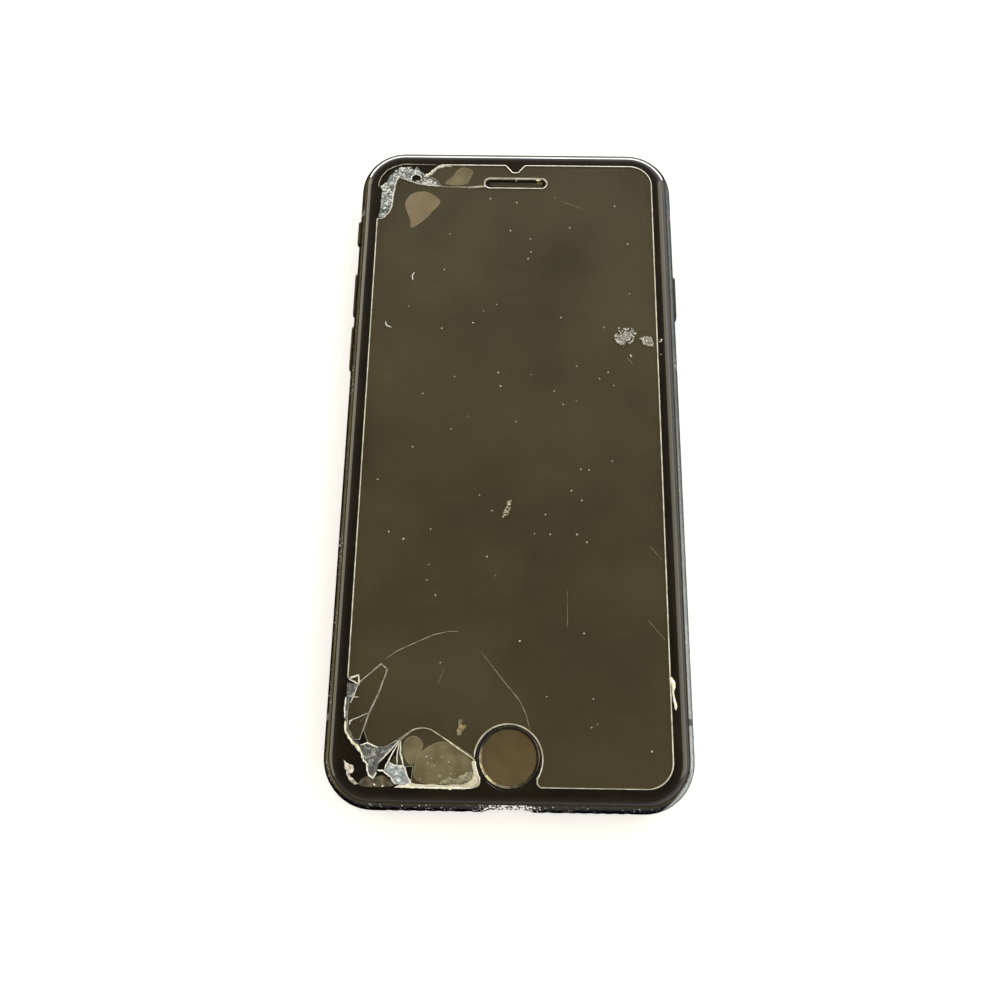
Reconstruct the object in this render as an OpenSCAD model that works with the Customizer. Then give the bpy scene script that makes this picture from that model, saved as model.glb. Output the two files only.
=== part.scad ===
// Touch-screen phone with a round home button, lying on its back with the screen up.
// Its glass screen protector is cracked and crushed at two corners.
// Millimetres. The back rests on Z = 0 and the top end points along +Y.

/* [Body] */
// Width across the round sides
body_w = 67.1; // [60:0.1:82]
// Length from bottom end to top end
body_l = 138.3; // [130:0.1:168]
// Thickness from back to cover glass, which also sets the full-round sides
body_t = 7.1; // [7:0.05:9]
// Radius of the four corners seen from above
corner_r = 9.4; // [9:0.1:12]
// Thickness of the housing floor
floor_t = 0.85; // [0.7:0.05:1]
// Thickness of the housing wall at mid height
wall_t = 2.15; // [1.9:0.05:2.6]
// Width of each antenna band
band_w = 1.2; // [0.8:0.1:2]
// Depth of each antenna band
band_depth = 0.5; // [0.3:0.05:0.6]
// Distance of each antenna band from its end of the body
band_from_end = 16; // [14:0.1:16.4]

/* [Cover glass] */
// Thickness of the cover glass
glass_t = 0.65; // [0.5:0.05:0.8]
// Thickness of the display frame's flange between glass and housing
flange_t = 0.25; // [0.2:0.05:0.4]
// How far the flange stays inside the housing's rim
flange_inset = 0.35; // [0.2:0.05:0.5]
// Length of the earpiece slot in the glass
slot_l = 11.8; // [9:0.1:13]
// Height of the earpiece slot in the glass
slot_h = 1.5; // [1.2:0.1:2]
// Distance of the earpiece slot from the top end
slot_from_top = 9.2; // [8:0.1:11]

/* [Home button] */
// Outer radius of the home button's ring
home_r = 5.45; // [5:0.05:6]
// Width of the ring's bevel
home_ring_w = 0.55; // [0.4:0.05:0.8]
// Distance of the button's centre from the bottom end
home_from_bottom = 9.3; // [9:0.1:11]
// Depth of the dish in the button's cap
home_dish = 0.12; // [0.05:0.01:0.2]
// How far the button travels when pressed
home_travel = 0.25; // [0.15:0.05:0.3]

/* [Display] */
// Thickness of the panel bonded under the glass
lcd_t = 1; // [0.8:0.05:1.2]
// Thickness of the backlight
backlight_t = 0.7; // [0.5:0.05:0.8]
// Thickness of the steel plate behind the display
shield_t = 0.2; // [0.15:0.05:0.3]
// Width of the margin beside the panel
lcd_side_margin = 3.85; // [3.7:0.05:5]
// Margin from the top end to the panel
lcd_top_margin = 16.15; // [15.5:0.05:20]
// Margin from the bottom end to the panel
lcd_bottom_margin = 15.65; // [15.5:0.05:20]
// Thickness of the display frame's skirt
skirt_t = 1.1; // [0.8:0.05:1.2]

/* [Screen protector] */
// Thickness of the protector with its adhesive
protector_t = 0.4; // [0.3:0.05:0.6]
// Margin from the body's side to the protector
protector_side_margin = 4.15; // [3.6:0.05:6]
// Margin from the body's end to the protector
protector_end_margin = 4.35; // [3.6:0.05:6]
// How far off centre the protector was stuck on, to the left and down
protector_shift = 0.2; // [0:0.05:0.4]
// Corner radius of the protector
protector_r = 4.8; // [3:0.1:6]
// Radius of its cutout round the home button
protector_home_r = 6; // [5.8:0.05:6.5]
// Width of an open crack
crack_w = 0.08; // [0.05:0.01:0.15]
// Tilt of the loose inner shard
shard_tilt = 1.5; // [0:0.1:2]

/* [Side controls] */
// Length of a volume button or the side button
button_l = 10.2; // [8:0.1:12]
// Height of a button
button_h = 2; // [1.6:0.1:2.2]
// How far the controls stand out of the side
button_proud = 0.3; // [0.2:0.05:0.4]
// How far a button travels inwards
button_travel = 0.25; // [0.15:0.05:0.3]
// Distance of the upper volume button and side button from the top end
button_from_top = 34.85; // [32:0.05:40]
// Spacing of the two volume buttons
volume_pitch = 12.5; // [11.8:0.1:16]
// Distance of the ring switch from the top end
ring_switch_from_top = 20.3; // [20:0.1:22]
// Length of the ring switch's lever
ring_switch_l = 5.4; // [4:0.1:6]
// Height of the ring switch's lever
ring_switch_h = 1.5; // [1.2:0.1:1.6]
// How far the ring switch slides towards the back
ring_switch_travel = 1.1; // [0.8:0.05:1.2]

/* [Card tray] */
// Distance of the tray's centre from the top end
tray_from_top = 57.2; // [56:0.1:70]
// Length of the tray's lip along the side
tray_lip_l = 15; // [14.5:0.1:16]
// Height of the tray's lip
tray_lip_h = 2.1; // [1.9:0.1:2.2]
// Width of the tray's plate along the side
tray_w = 13.6; // [13.2:0.1:14]
// Depth of the tray's plate into the body
tray_depth = 13.4; // [12.5:0.1:15]
// Thickness of the tray's plate
tray_t = 1; // [0.9:0.05:1.1]
// Length of the small card it carries
card_l = 12.3; // [12:0.1:12.5]
// Width of the small card it carries
card_w = 8.8; // [8.5:0.1:9]

/* [Bottom end] */
// Width of the charging port's mouth
port_w = 8.4; // [7.5:0.1:9]
// Height of the charging port's mouth
port_h = 2.6; // [2.4:0.1:3]
// Depth of the charging port
port_depth = 6; // [5:0.1:6.2]
// Distance of the two end screws from the centre
end_screw_x = 7; // [6.8:0.1:8]
// Radius of the round sound holes
sound_hole_r = 0.75; // [0.5:0.05:0.9]
// Spacing of the round sound holes
sound_hole_pitch = 2.2; // [1.9:0.1:2.3]
// Number of sound holes on each side of the port
sound_holes = 6; // [4:1:6]

/* [Rear camera] */
// Distance of the camera from the right side
camera_from_side = 10.75; // [10:0.05:14]
// Distance of the camera and flash from the top end
camera_from_top = 10.2; // [9:0.05:10.4]
// Outer radius of the camera's ring
camera_ring_r = 4.9; // [4:0.1:5.2]
// Width of the camera's ring
camera_ring_w = 1; // [0.6:0.1:1.4]
// Distance between camera and flash
flash_pitch = 11.3; // [10:0.1:13]
// Radius of the flash lens
flash_r = 2.2; // [1.5:0.1:2.6]

/* [Inside] */
// Width of the battery
battery_w = 37.5; // [30:0.5:39]
// Length of the battery
battery_l = 88; // [70:0.5:92]
// Thickness of the battery
battery_t = 3.1; // [2.6:0.1:3.3]
// Thickness of an adhesive strip or a flat ribbon on the floor
ribbon_t = 0.2; // [0.1:0.05:0.25]
// Thickness of the logic board
board_t = 0.7; // [0.5:0.05:0.8]
// Width of the logic board's long leg
board_leg_w = 18.6; // [17:0.2:19]
// Height of the chips on the logic board
chip_h = 0.9; // [0.6:0.1:1.2]
// Wall of a shield can
can_t = 0.15; // [0.1:0.05:0.2]

/* [Clearances] */
// Round each moving control
slide_gap = 0.1; // [0.06:0.02:0.16]
// Between the display frame's skirt and the housing
skirt_gap = 0.2; // [0.1:0.05:0.3]
// Between neighbouring fixed pieces
seat_gap = 0.1; // [0.05:0.05:0.15]
// Between inner pieces and the walls round them
inner_gap = 2.4; // [2.2:0.1:3]
// Round a screw's shank and head
screw_gap = 0.05; // [0.03:0.01:0.08]

/* [Hidden] */
$fn = 64;

// Heights of the layers, from the back up
side_r = body_t / 2;
mid_z = side_r;
glass_z = body_t - glass_t;
rim_z = glass_z - flange_t;
lcd_z = glass_z - lcd_t;
backlight_z = lcd_z - backlight_t;
shield_z = backlight_z - shield_t;

// Half sizes of the body and of the housing's cavity
half_w = body_w / 2;
half_l = body_l / 2;
cav_w = half_w - wall_t;
cav_l = half_l - wall_t;
cav_r = corner_r - wall_t;
port_wall = 0.3;
skirt_z = mid_z + port_h / 2 + port_wall + seat_gap;

// Places on the front
home_y = -half_l + home_from_bottom;
slot_y = half_l - slot_from_top;
home_hole_r = home_r + 0.15;
cap_r = home_r - home_ring_w;
cap_top = body_t - 0.25;
carrier_t = 0.3;
gasket_t = 0.2;
gasket_r = home_r + 0.85;
carrier_z = glass_z - gasket_t - slide_gap / 2 - carrier_t;
carrier_boss_h = 0.35;
lcd_top = half_l - lcd_top_margin;
lcd_bottom = max(-half_l + lcd_bottom_margin, home_y + gasket_r + seat_gap / 2);
lcd_half_w = half_w - lcd_side_margin;
home_switch_top = carrier_z - carrier_boss_h - home_travel - slide_gap / 2;
home_switch_h = 0.4;
bracket_t = 0.25;
home_bracket_z = home_switch_top - home_switch_h - bracket_t;

// The protector's corners, from which its damage is drawn
protector_left = -half_w + protector_side_margin - protector_shift;
protector_right = half_w - protector_side_margin - protector_shift;
protector_top = half_l - protector_end_margin - protector_shift;
protector_bottom = -half_l + protector_end_margin - protector_shift;
protector_home = [-0.1, home_y - 0.3];
protector_slot_l = 13.2;
protector_slot_h = 2.25;

// Places of the side controls
button_y = half_l - button_from_top;
volume_down_y = button_y - volume_pitch;
ring_y = half_l - ring_switch_from_top;
tray_y = half_l - tray_from_top;
ring_z = mid_z + ring_switch_travel / 2;
flange_depth = 0.5;
flange_extra = 0.7;
flange_x = cav_w - slide_gap / 2 - flange_depth;
switch_top_x = flange_x - button_travel - slide_gap / 2;
switch_depth = 0.8;
bracket_x = switch_top_x - switch_depth - bracket_t;

// Places inside
board_z = mid_z - tray_t / 2 - 0.95 - board_t;
board_top = board_z + board_t;
board_right = cav_w - inner_gap;
board_left = board_right - board_leg_w;
board_head_y = half_l - 22;
board_neck_y = board_head_y + 4;
board_head_top = half_l - 9.7;
board_foot_y = tray_y - 32;
board_head_left = -cav_w + 7.4;
battery_x = -cav_w + inner_gap;
battery_y = -cav_l + 23;
camera_x = half_w - camera_from_side;
camera_y = half_l - camera_from_top;
flash_x = camera_x - flash_pitch;
camera_box = 9.4;
bottom_y = -cav_l + 0.8;
port_back = -half_l + 0.65 + port_depth + 0.5;
screw_head_r = 0.8;
screw_shank_r = 0.5;
screw_head_y = -half_l + 0.55;
screw_head_l = 0.9;
screw_l = 4.2;
lug_w = 2.2;
lug_h = skirt_z - mid_z + 0.85;
screw_spots = [
  [board_right - 2, board_foot_y + 2],
  [board_left + 2, board_foot_y + 2],
  [board_head_left + 2, board_head_y + 2],
  [board_head_left + 2, board_head_top - 2],
  [board_right - 2, board_head_y - 4]
];
board_screw_head_r = 1;
board_screw_head_h = 0.35;
board_screw_r = 0.45;
boss_r = 1.3;

// Damage outlines, as points from the protector's upper left corner
function from_upper_left(points) = [for (p = points) [protector_left + p[0], protector_top - p[1]]];
// Damage outlines, as points from the protector's lower left corner
function from_lower_left(points) = [
  for (p = points) [protector_left + p[0], protector_bottom + p[1]]
];
// Points round an arc
function arc(centre, r, from, to, steps = 6) = [
  for (i = [0:steps]) centre + r * [
    cos(from + (to - from) * i / steps),
    sin(from + (to - from) * i / steps)
  ]
];

upper_break = from_upper_left([
  [-2, 13.9], [1.5, 13.8], [3.1, 11], [3.4, 8], [3.7, 4.7], [4.3, 3.3], [6, 4.1], [7.6, 4.7],
  [9.7, 5.3], [11, 5.5], [13.5, 5.7], [12.4, 4.1], [10.8, 3.2], [10.2, 2.9], [12.3, 0.7],
  [14.3, -0.4], [14.3, -2], [-2, -2]
]);
crushed_corner = from_upper_left([
  [0.3, 13.6], [0.6, 11.8], [0.7, 10], [0.8, 7], [0.4, 5.8], [1.7, 4.7], [2.1, 3.5], [3.5, 1.6],
  [4.6, 0.9], [6.7, 0.8], [7.4, 1.9], [8, 0.7], [9.6, 2.6], [10.6, 3.4], [12.2, 4.3],
  [13.1, 5.5], [11, 5.35], [9.7, 5.15], [7.6, 4.55], [6, 3.95], [4.4, 3.1], [3.55, 4.6],
  [3.25, 7.9], [2.95, 10.9], [1.4, 13.6]
]);
crushed_hole = [protector_left + 7.9, protector_top - 3.4];
crushed_hole_r = 0.9;
crack_start = from_upper_left([[13.4, 5.7]])[0];
crack_bend = from_upper_left([[19.2, 5.8]])[0];
crack_end = [-protector_slot_l / 2 + 0.4, slot_y - 0.75];

lower_break = concat(
  from_lower_left([
    [-2, 18.7], [0.1, 18.7], [2, 19.3], [2.3, 18], [6.1, 21.4], [7.2, 20.4], [7.1, 19.7],
    [5.9, 16], [4.4, 12.5], [3.5, 9.5], [4.4, 7.35], [6.3, 6.55], [7.5, 6.55], [10, 8.05],
    [12.4, 9.8], [14.1, 10.1], [15.6, 9.8], [17.8, 8.45]
  ]),
  [
    protector_home + [-5, -0.5],
    [protector_home[0] - 2, protector_bottom - 1],
    [protector_left - 2, protector_bottom - 1]
  ]
);
splinter = from_lower_left([
  [0.5, 17.2], [2.2, 17.75], [6, 21.15], [6.95, 20.35], [6.85, 19.7], [5.65, 16.05],
  [4.15, 12.55], [3.25, 9.5], [2.85, 7.9], [1.9, 7.9], [0.8, 9.7], [0.55, 11.4], [0.6, 15]
]);
edge_triangle = from_lower_left([[0.2, 18.5], [1.9, 19.1], [2.1, 18.05], [2, 17.8]]);
edge_crush = from_lower_left([
  [0.05, 17.9], [0.4, 17.3], [0.45, 15], [0.4, 11.4], [0.65, 9.6], [1.8, 7.75], [2.8, 7.3],
  [2.6, 7], [1.6, 7.4], [0.4, 9.3], [0.1, 11.4], [-0.05, 14.2], [0.15, 15.2]
]);
inner_shard = from_lower_left([
  [2.9, 7], [4.3, 7.15], [6.3, 6.4], [7.5, 6.4], [9.7, 7.85], [9.6, 7.3], [6.4, 3.7],
  [6.2, 2.3], [5.7, 1.3], [4.9, 1.9], [4.6, 2.4], [4.7, 3.5], [3.8, 4.1], [3.5, 5.3]
]);
outer_shard = from_lower_left([
  [7.4, 2.5], [8.4, 4], [9.8, 3.4], [10.8, 3.3], [11.4, 2.2], [12, 0.5], [11.4, 0.2],
  [9.6, 0.3], [8.7, 1.5]
]);
needle_shards = [
  from_lower_left([[9.9, 7.7], [9.7, 5.4], [8.55, 4.1], [9.7, 3.65]]),
  from_lower_left([[10.05, 7.7], [9.9, 3.6], [10.8, 3.45]])
];
lower_shard = concat(
  from_lower_left([
    [10.3, 7.75], [12.4, 9.65], [14.1, 9.95], [15.6, 9.65], [17.7, 8.3]
  ]),
  [protector_home + [-5.7, -0.6], [protector_home[0] - 3, protector_bottom - 0.5]],
  from_lower_left([[12.6, -0.5], [11.6, 2.2], [11, 3.4]])
);

module rounded_rect(w, l, r) {
  square([w - 2 * r, l], center = true);
  square([w, l - 2 * r], center = true);
  for (sx = [-1, 1], sy = [-1, 1])
    translate([sx * (w / 2 - r), sy * (l / 2 - r)]) circle(r);
}

module stadium(l, h) {
  square([l - h, h], center = true);
  for (s = [-1, 1]) translate([s * (l - h) / 2, 0]) circle(h / 2);
}

// Local X runs along the body, Y up and Z out of the right side
module on_right_side(x, y, z) {
  translate([x, y, z]) rotate([90, 0, 90]) children();
}

module on_left_side(x, y, z) {
  mirror([1, 0, 0]) on_right_side(x, y, z) children();
}

// Local X runs across the body, Y up and Z into it from the bottom end
module into_bottom(x, y, z) {
  translate([x, y, z]) rotate([90, 0, 0]) mirror([0, 0, 1]) children();
}

// Half section of the body between two heights, from a corner's centre outwards
module body_profile(z0, z1) {
  intersection() {
    union() {
      square([corner_r - side_r, body_t]);
      translate([corner_r - side_r, side_r]) circle(side_r);
    }
    translate([0, z0]) square([corner_r, z1 - z0]);
  }
}

// The body's round-sided slab between two heights
module body_layer(z0, z1) {
  w = half_w - corner_r;
  l = half_l - corner_r;
  for (i = [0:3]) {
    sx = (i == 0 || i == 3) ? 1 : -1;
    sy = i < 2 ? 1 : -1;
    translate([sx * w, sy * l, 0])
      rotate([0, 0, 90 * i]) rotate_extrude(angle = 90) body_profile(z0, z1);
  }
  for (m = [0, 1]) {
    mirror([m, 0, 0]) translate([w, l, 0])
      rotate([90, 0, 0]) linear_extrude(2 * l) body_profile(z0, z1);
    mirror([0, m, 0]) translate([-w, l, 0])
      rotate([90, 0, 90]) linear_extrude(2 * w) body_profile(z0, z1);
  }
  translate([-w, -l, z0]) cube([2 * w, 2 * l, z1 - z0]);
}

// Whole cross section of the body, inset by some depth
module body_section(inset) {
  translate([-(half_w - side_r), inset]) square([body_w - 2 * side_r, body_t - 2 * inset]);
  for (s = [-1, 1]) translate([s * (half_w - side_r), side_r]) circle(side_r - inset);
}

// A band of the body's surface across the back and up both sides to some height
module band(side, outer_inset, top) {
  translate([0, side * (half_l - band_from_end) + band_w / 2, 0])
    rotate([90, 0, 0]) linear_extrude(band_w) intersection() {
      difference() {
        body_section(outer_inset);
        body_section(band_depth);
      }
      translate([-body_w, -1]) square([2 * body_w, top + 1]);
    }
}

// A button: a bevelled pill that stands out of the wall, on a flange inside it
module pill(l, h, depth, bevel) {
  for (s = [-1, 1]) translate([s * (l - h) / 2, 0, 0]) rotate_extrude() polygon([
    [0, 0], [h / 2, 0], [h / 2, depth - bevel], [h / 2 - bevel, depth], [0, depth]
  ]);
  translate([-(l - h) / 2, 0, 0]) rotate([90, 0, 90]) linear_extrude(l - h) polygon([
    [-h / 2, 0], [h / 2, 0], [h / 2, depth - bevel], [h / 2 - bevel, depth],
    [bevel - h / 2, depth], [-h / 2, depth - bevel]
  ]);
}

module push_button(l, h) {
  pill(l, h, half_w + button_proud - flange_x, 0.15);
  linear_extrude(flange_depth) stadium(l + 2 * flange_extra, h);
}

module tact_switch() {
  dome_r = 0.7;
  dome_h = 0.2;
  linear_extrude(switch_depth - dome_h) square([3.2, button_h], center = true);
  translate([0, 0, switch_depth - dome_h]) cylinder(r = dome_r, h = dome_h);
}

module bracket_strip(length) {
  top = mid_z + button_h / 2;
  linear_extrude(bracket_t) translate([-length / 2, floor_t - mid_z])
    square([length, top - floor_t]);
}

// Screen protector

module protector_outline() {
  difference() {
    translate([-protector_shift, -protector_shift])
      rounded_rect(protector_right - protector_left, protector_top - protector_bottom, protector_r);
    translate([-0.1, slot_y]) stadium(protector_slot_l, protector_slot_h);
    protector_notch();
    translate(protector_home) circle(protector_home_r);
    protector_mouth();
  }
}

// The notch over the proximity sensor, with round shoulders and a round-cornered floor
module protector_notch() {
  centre_x = -0.2;
  shoulder_r = 0.9;
  floor_r = 0.4;
  depth = 1.85;
  shoulder_x = 2.45;
  floor_x = 0.35;
  slope = 52;
  half = concat(
    [[shoulder_x, 1]],
    arc([shoulder_x, -shoulder_r], shoulder_r, 90, 90 + slope),
    arc([floor_x, floor_r - depth], floor_r, slope - 90, -90)
  );
  translate([centre_x, protector_top]) {
    polygon(concat([[0, 1]], half, [[0, -depth]]));
    mirror([1, 0]) polygon(concat([[0, 1]], half, [[0, -depth]]));
  }
}

// The home cutout's mouth, which flares through the bottom edge
module protector_mouth() {
  neck_y = -0.55 * protector_home_r;
  neck_x = 0.825 * protector_home_r;
  foot_r = 1;
  floor_y = protector_bottom - protector_home[1];
  half = concat(
    [[0, neck_y], [neck_x, neck_y]],
    arc([neck_x + foot_r + 0.05, floor_y + foot_r], foot_r, 160, 270),
    [[neck_x + foot_r, floor_y - 1], [0, floor_y - 1]]
  );
  translate(protector_home) {
    polygon(half);
    mirror([1, 0]) polygon(half);
  }
}

module protector_glass() {
  translate([0, 0, body_t]) linear_extrude(protector_t) children();
}

module protector_pane() {
  color("#3c382c", 0.5) protector_glass() difference() {
    protector_outline();
    polygon(upper_break);
    polygon(lower_break);
    polygon([
      crack_start, crack_bend, crack_end,
      crack_end + [0, -crack_w], crack_bend + [0, -crack_w], crack_start + [0, -crack_w]
    ]);
  }
}

module protector_crushed_corner() {
  color("#9fa9ad", 0.9) protector_glass() difference() {
    polygon(crushed_corner);
    translate(crushed_hole) circle(crushed_hole_r);
  }
}

module protector_edge_chips() {
  color("#c9ccc8", 0.9) protector_glass() {
    polygon(edge_triangle);
    polygon(edge_crush);
  }
}

module protector_splinter() {
  color("#3c382c", 0.5) protector_glass() polygon(splinter);
}

// Propped up along its outer side by the crumbs under it
module protector_inner_shard() {
  hinge = inner_shard[4];
  color("#7d8890", 0.9) translate([hinge[0], hinge[1], body_t])
    rotate([0, shard_tilt, 0]) linear_extrude(protector_t)
      translate(-hinge) polygon(inner_shard);
}

module protector_outer_shard() {
  color("#7d8890", 0.9) protector_glass() polygon(outer_shard);
}

module protector_needle_shards() {
  color("#7d8890", 0.9) protector_glass() for (points = needle_shards) polygon(points);
}

module protector_lower_shard() {
  color("#57544a", 0.7) protector_glass() intersection() {
    protector_outline();
    polygon(lower_shard);
  }
}

// Front

module cover_glass() {
  chamfer = 0.1;
  color("#0c0c0d") difference() {
    body_layer(glass_z, body_t);
    translate([0, slot_y, glass_z - 1]) linear_extrude(glass_t + 2) stadium(slot_l, slot_h);
    translate([0, home_y, glass_z - 1]) cylinder(r = home_hole_r, h = glass_t + 2);
    translate([0, home_y, body_t - chamfer])
      cylinder(r1 = home_hole_r, r2 = home_hole_r + 2 * chamfer, h = 2 * chamfer);
  }
}

module display_frame() {
  profile_depth = sqrt(pow(side_r, 2) - pow(rim_z - side_r, 2));
  flange_out = side_r - profile_depth + flange_inset;
  skirt_out = wall_t + skirt_gap;
  opening_in = skirt_out + skirt_t;
  color("#101113") difference() {
    union() {
      translate([0, 0, rim_z]) linear_extrude(flange_t)
        rounded_rect(body_w - 2 * flange_out, body_l - 2 * flange_out, corner_r - flange_out);
      translate([0, 0, skirt_z]) linear_extrude(rim_z - skirt_z + 0.1)
        rounded_rect(body_w - 2 * skirt_out, body_l - 2 * skirt_out, corner_r - skirt_out);
    }
    translate([0, 0, skirt_z - 1]) linear_extrude(glass_z)
      rounded_rect(body_w - 2 * opening_in, body_l - 2 * opening_in, corner_r - opening_in);
    translate([0, home_y, skirt_z - 1]) cylinder(r = gasket_r + slide_gap, h = glass_z);
  }
  color("#101113") for (s = [-1, 1]) difference() {
    translate([s * end_screw_x - lug_w / 2, -cav_l + skirt_gap, skirt_z - lug_h])
      cube([lug_w, 2.4, lug_h + 0.3]);
    into_bottom(s * end_screw_x, -cav_l, mid_z)
      cylinder(r = screw_shank_r + screw_gap, h = 4);
  }
}

module lcd_panel() {
  color("#17181a") translate([-lcd_half_w, lcd_bottom, lcd_z])
    cube([2 * lcd_half_w, lcd_top - lcd_bottom, lcd_t]);
}

module backlight() {
  color("#d8d8d2") translate([-lcd_half_w, lcd_bottom, backlight_z])
    cube([2 * lcd_half_w, lcd_top - lcd_bottom, backlight_t]);
}

module display_shield() {
  color("#a4a6a8") translate([-lcd_half_w, lcd_bottom, shield_z])
    cube([2 * lcd_half_w, lcd_top - lcd_bottom, shield_t]);
}

// Runs from the panel's top edge down to the logic board
module display_ribbon() {
  color("#5a3d22") translate([board_head_left + 5, lcd_top, board_top])
    cube([10, ribbon_t, lcd_z + lcd_t / 2 - board_top]);
}

module earpiece_mesh() {
  color("#2b2a26") translate([0, slot_y, glass_z + 0.1]) linear_extrude(0.15)
    stadium(slot_l - seat_gap, slot_h - seat_gap);
}

module earpiece_speaker() {
  w = slot_l + 1.4;
  color("#1e1f21") difference() {
    translate([-w / 2, slot_y - 1.9, glass_z - 1.7]) cube([w, 3.8, 1.7]);
    translate([0, slot_y, glass_z - 0.5]) linear_extrude(1) stadium(slot_l - 1, slot_h - 0.4);
  }
}

module front_camera() {
  barrel_r = 1.6;
  color("#141518") translate([-12, slot_y, 0]) {
    translate([0, 0, glass_z - 0.8]) cylinder(r = barrel_r, h = 0.8);
    translate([-2.6, -2.3, glass_z - 2.2]) cube([5.2, 4.6, 1.4]);
  }
}

module proximity_sensor() {
  color("#241f2b") translate([-1.2, slot_y + 2.4, glass_z - 0.9]) cube([2.4, 1.8, 0.9]);
}

module sensor_ribbon() {
  color("#5a3d22") translate([-9.2, slot_y + 2.5, glass_z - ribbon_t]) cube([7.9, 1.5, ribbon_t]);
}

// Home button

module home_button_cap() {
  dish_r = (pow(cap_r, 2) + pow(home_dish, 2)) / (2 * home_dish);
  color("#1c1a17") difference() {
    translate([0, home_y, carrier_z + carrier_t])
      cylinder(r = cap_r - 0.02, h = cap_top - carrier_z - carrier_t);
    translate([0, home_y, cap_top - home_dish + dish_r]) sphere(dish_r, $fn = 256);
  }
}

// Bevelled inwards, towards the cap
module home_button_ring() {
  base = carrier_z + carrier_t;
  color("#6d6a64") translate([0, home_y, 0]) rotate_extrude() polygon([
    [cap_r, base], [home_r, base], [home_r, body_t - 0.1], [home_r - 0.12, body_t - 0.05],
    [cap_r, cap_top]
  ]);
}

module home_button_carrier() {
  color("#232426") translate([0, home_y, carrier_z]) {
    cylinder(r = gasket_r - slide_gap, h = carrier_t);
    translate([0, 0, -carrier_boss_h]) cylinder(r = home_r - 0.5, h = carrier_boss_h);
  }
}

module home_button_gasket() {
  color("#1a1a1a") translate([0, home_y, glass_z - gasket_t]) difference() {
    cylinder(r = gasket_r, h = gasket_t);
    translate([0, 0, -1]) cylinder(r = home_r + slide_gap, h = gasket_t + 2);
  }
}

// A steel strap under the button, on two legs bonded under the glass
module home_button_bracket() {
  span = 2 * (home_r + 7);
  leg = 2;
  color("#a4a6a8") translate([-span / 2, home_y - 1.3, home_bracket_z]) {
    cube([span, 3.4, bracket_t]);
    for (x = [0, span - leg]) translate([x, 0, 0])
      cube([leg, 3.4, glass_z - home_bracket_z]);
  }
}

module home_button_switch() {
  color("#c8a24a") translate([0, home_y, home_bracket_z + bracket_t]) {
    translate([-1.2, -1.2, 0]) cube([2.4, 2.4, home_switch_h - 0.15]);
    cylinder(r = 0.8, h = home_switch_h);
  }
}

// Housing

module housing() {
  color("#202226") difference() {
    union() {
      difference() {
        body_layer(0, rim_z);
        housing_cavity();
      }
      for (p = screw_spots) translate([p[0], p[1], floor_t - 0.3])
        cylinder(r = boss_r, h = board_z - floor_t + 0.3);
    }
    for (s = [-1, 1]) band(s, -0.5, rim_z + 1);
    for (p = screw_spots) translate([p[0], p[1], floor_t])
      cylinder(r = board_screw_r + screw_gap, h = 2);
    housing_side_slots();
    housing_end_holes();
    housing_back_holes();
  }
}

module housing_cavity() {
  translate([0, 0, floor_t]) linear_extrude(body_t) rounded_rect(2 * cav_w, 2 * cav_l, cav_r);
}

module housing_side_slots() {
  reach = wall_t + 2;
  start = cav_w - 1;
  slot_cut = 2 * slide_gap;
  on_right_side(start, button_y, mid_z) linear_extrude(reach)
    stadium(button_l + slot_cut, button_h + slot_cut);
  on_right_side(start, tray_y, mid_z) linear_extrude(reach)
    stadium(tray_lip_l + slot_cut, tray_lip_h + slot_cut);
  for (y = [button_y, volume_down_y]) on_left_side(start, y, mid_z) linear_extrude(reach)
    stadium(button_l + slot_cut, button_h + slot_cut);
  on_left_side(start, ring_y, mid_z) linear_extrude(reach)
    square([ring_switch_l + slot_cut, ring_switch_h + ring_switch_travel + slot_cut], center = true);
}

module housing_end_holes() {
  reach = wall_t + 2;
  start = -half_l - 1;
  into_bottom(0, start, mid_z) linear_extrude(reach + 1)
    stadium(port_w + 2 * port_wall + seat_gap, port_h + 2 * port_wall + seat_gap);
  for (s = [-1, 1]) {
    for (i = [0:sound_holes - 1])
      into_bottom(s * (end_screw_x + 3.2 + i * sound_hole_pitch), start, mid_z)
        cylinder(r = sound_hole_r, h = reach + 1);
    into_bottom(s * end_screw_x, start, mid_z)
      cylinder(r = screw_head_r + screw_gap, h = screw_head_y + screw_head_l - start);
    into_bottom(s * end_screw_x, start, mid_z)
      cylinder(r = screw_shank_r + screw_gap, h = reach + 1);
  }
}

module housing_back_holes() {
  translate([camera_x, camera_y, -1]) cylinder(r = camera_ring_r, h = floor_t + 2);
  translate([flash_x, camera_y, -1]) cylinder(r = flash_r, h = floor_t + 2);
  translate([(camera_x + flash_x) / 2 - 1, camera_y, -1]) cylinder(r = 0.5, h = floor_t + 2);
}

// Each band fills its groove and ends flush with the wall's inside
module antenna_band(side) {
  color("#17181b") difference() {
    band(side, 0, rim_z);
    housing_cavity();
  }
}

module antenna_band_upper() {
  antenna_band(1);
}

module antenna_band_lower() {
  antenna_band(-1);
}

// Side controls

module volume_up_button() {
  color("#26282c") on_left_side(flange_x, button_y, mid_z) push_button(button_l, button_h);
}

module volume_down_button() {
  color("#26282c") on_left_side(flange_x, volume_down_y, mid_z) push_button(button_l, button_h);
}

module side_button() {
  color("#26282c") on_right_side(flange_x, button_y, mid_z) push_button(button_l, button_h);
}

module ring_switch_lever() {
  reach = half_w + button_proud - flange_x;
  bevel = 0.15;
  color("#8d9094") on_left_side(flange_x, ring_y, ring_z) {
    linear_extrude(reach - bevel) square([ring_switch_l, ring_switch_h], center = true);
    linear_extrude(reach)
      square([ring_switch_l - 2 * bevel, ring_switch_h - 2 * bevel], center = true);
    linear_extrude(flange_depth)
      square([ring_switch_l + 2 * flange_extra, ring_switch_h - 0.1], center = true);
  }
}

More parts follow.
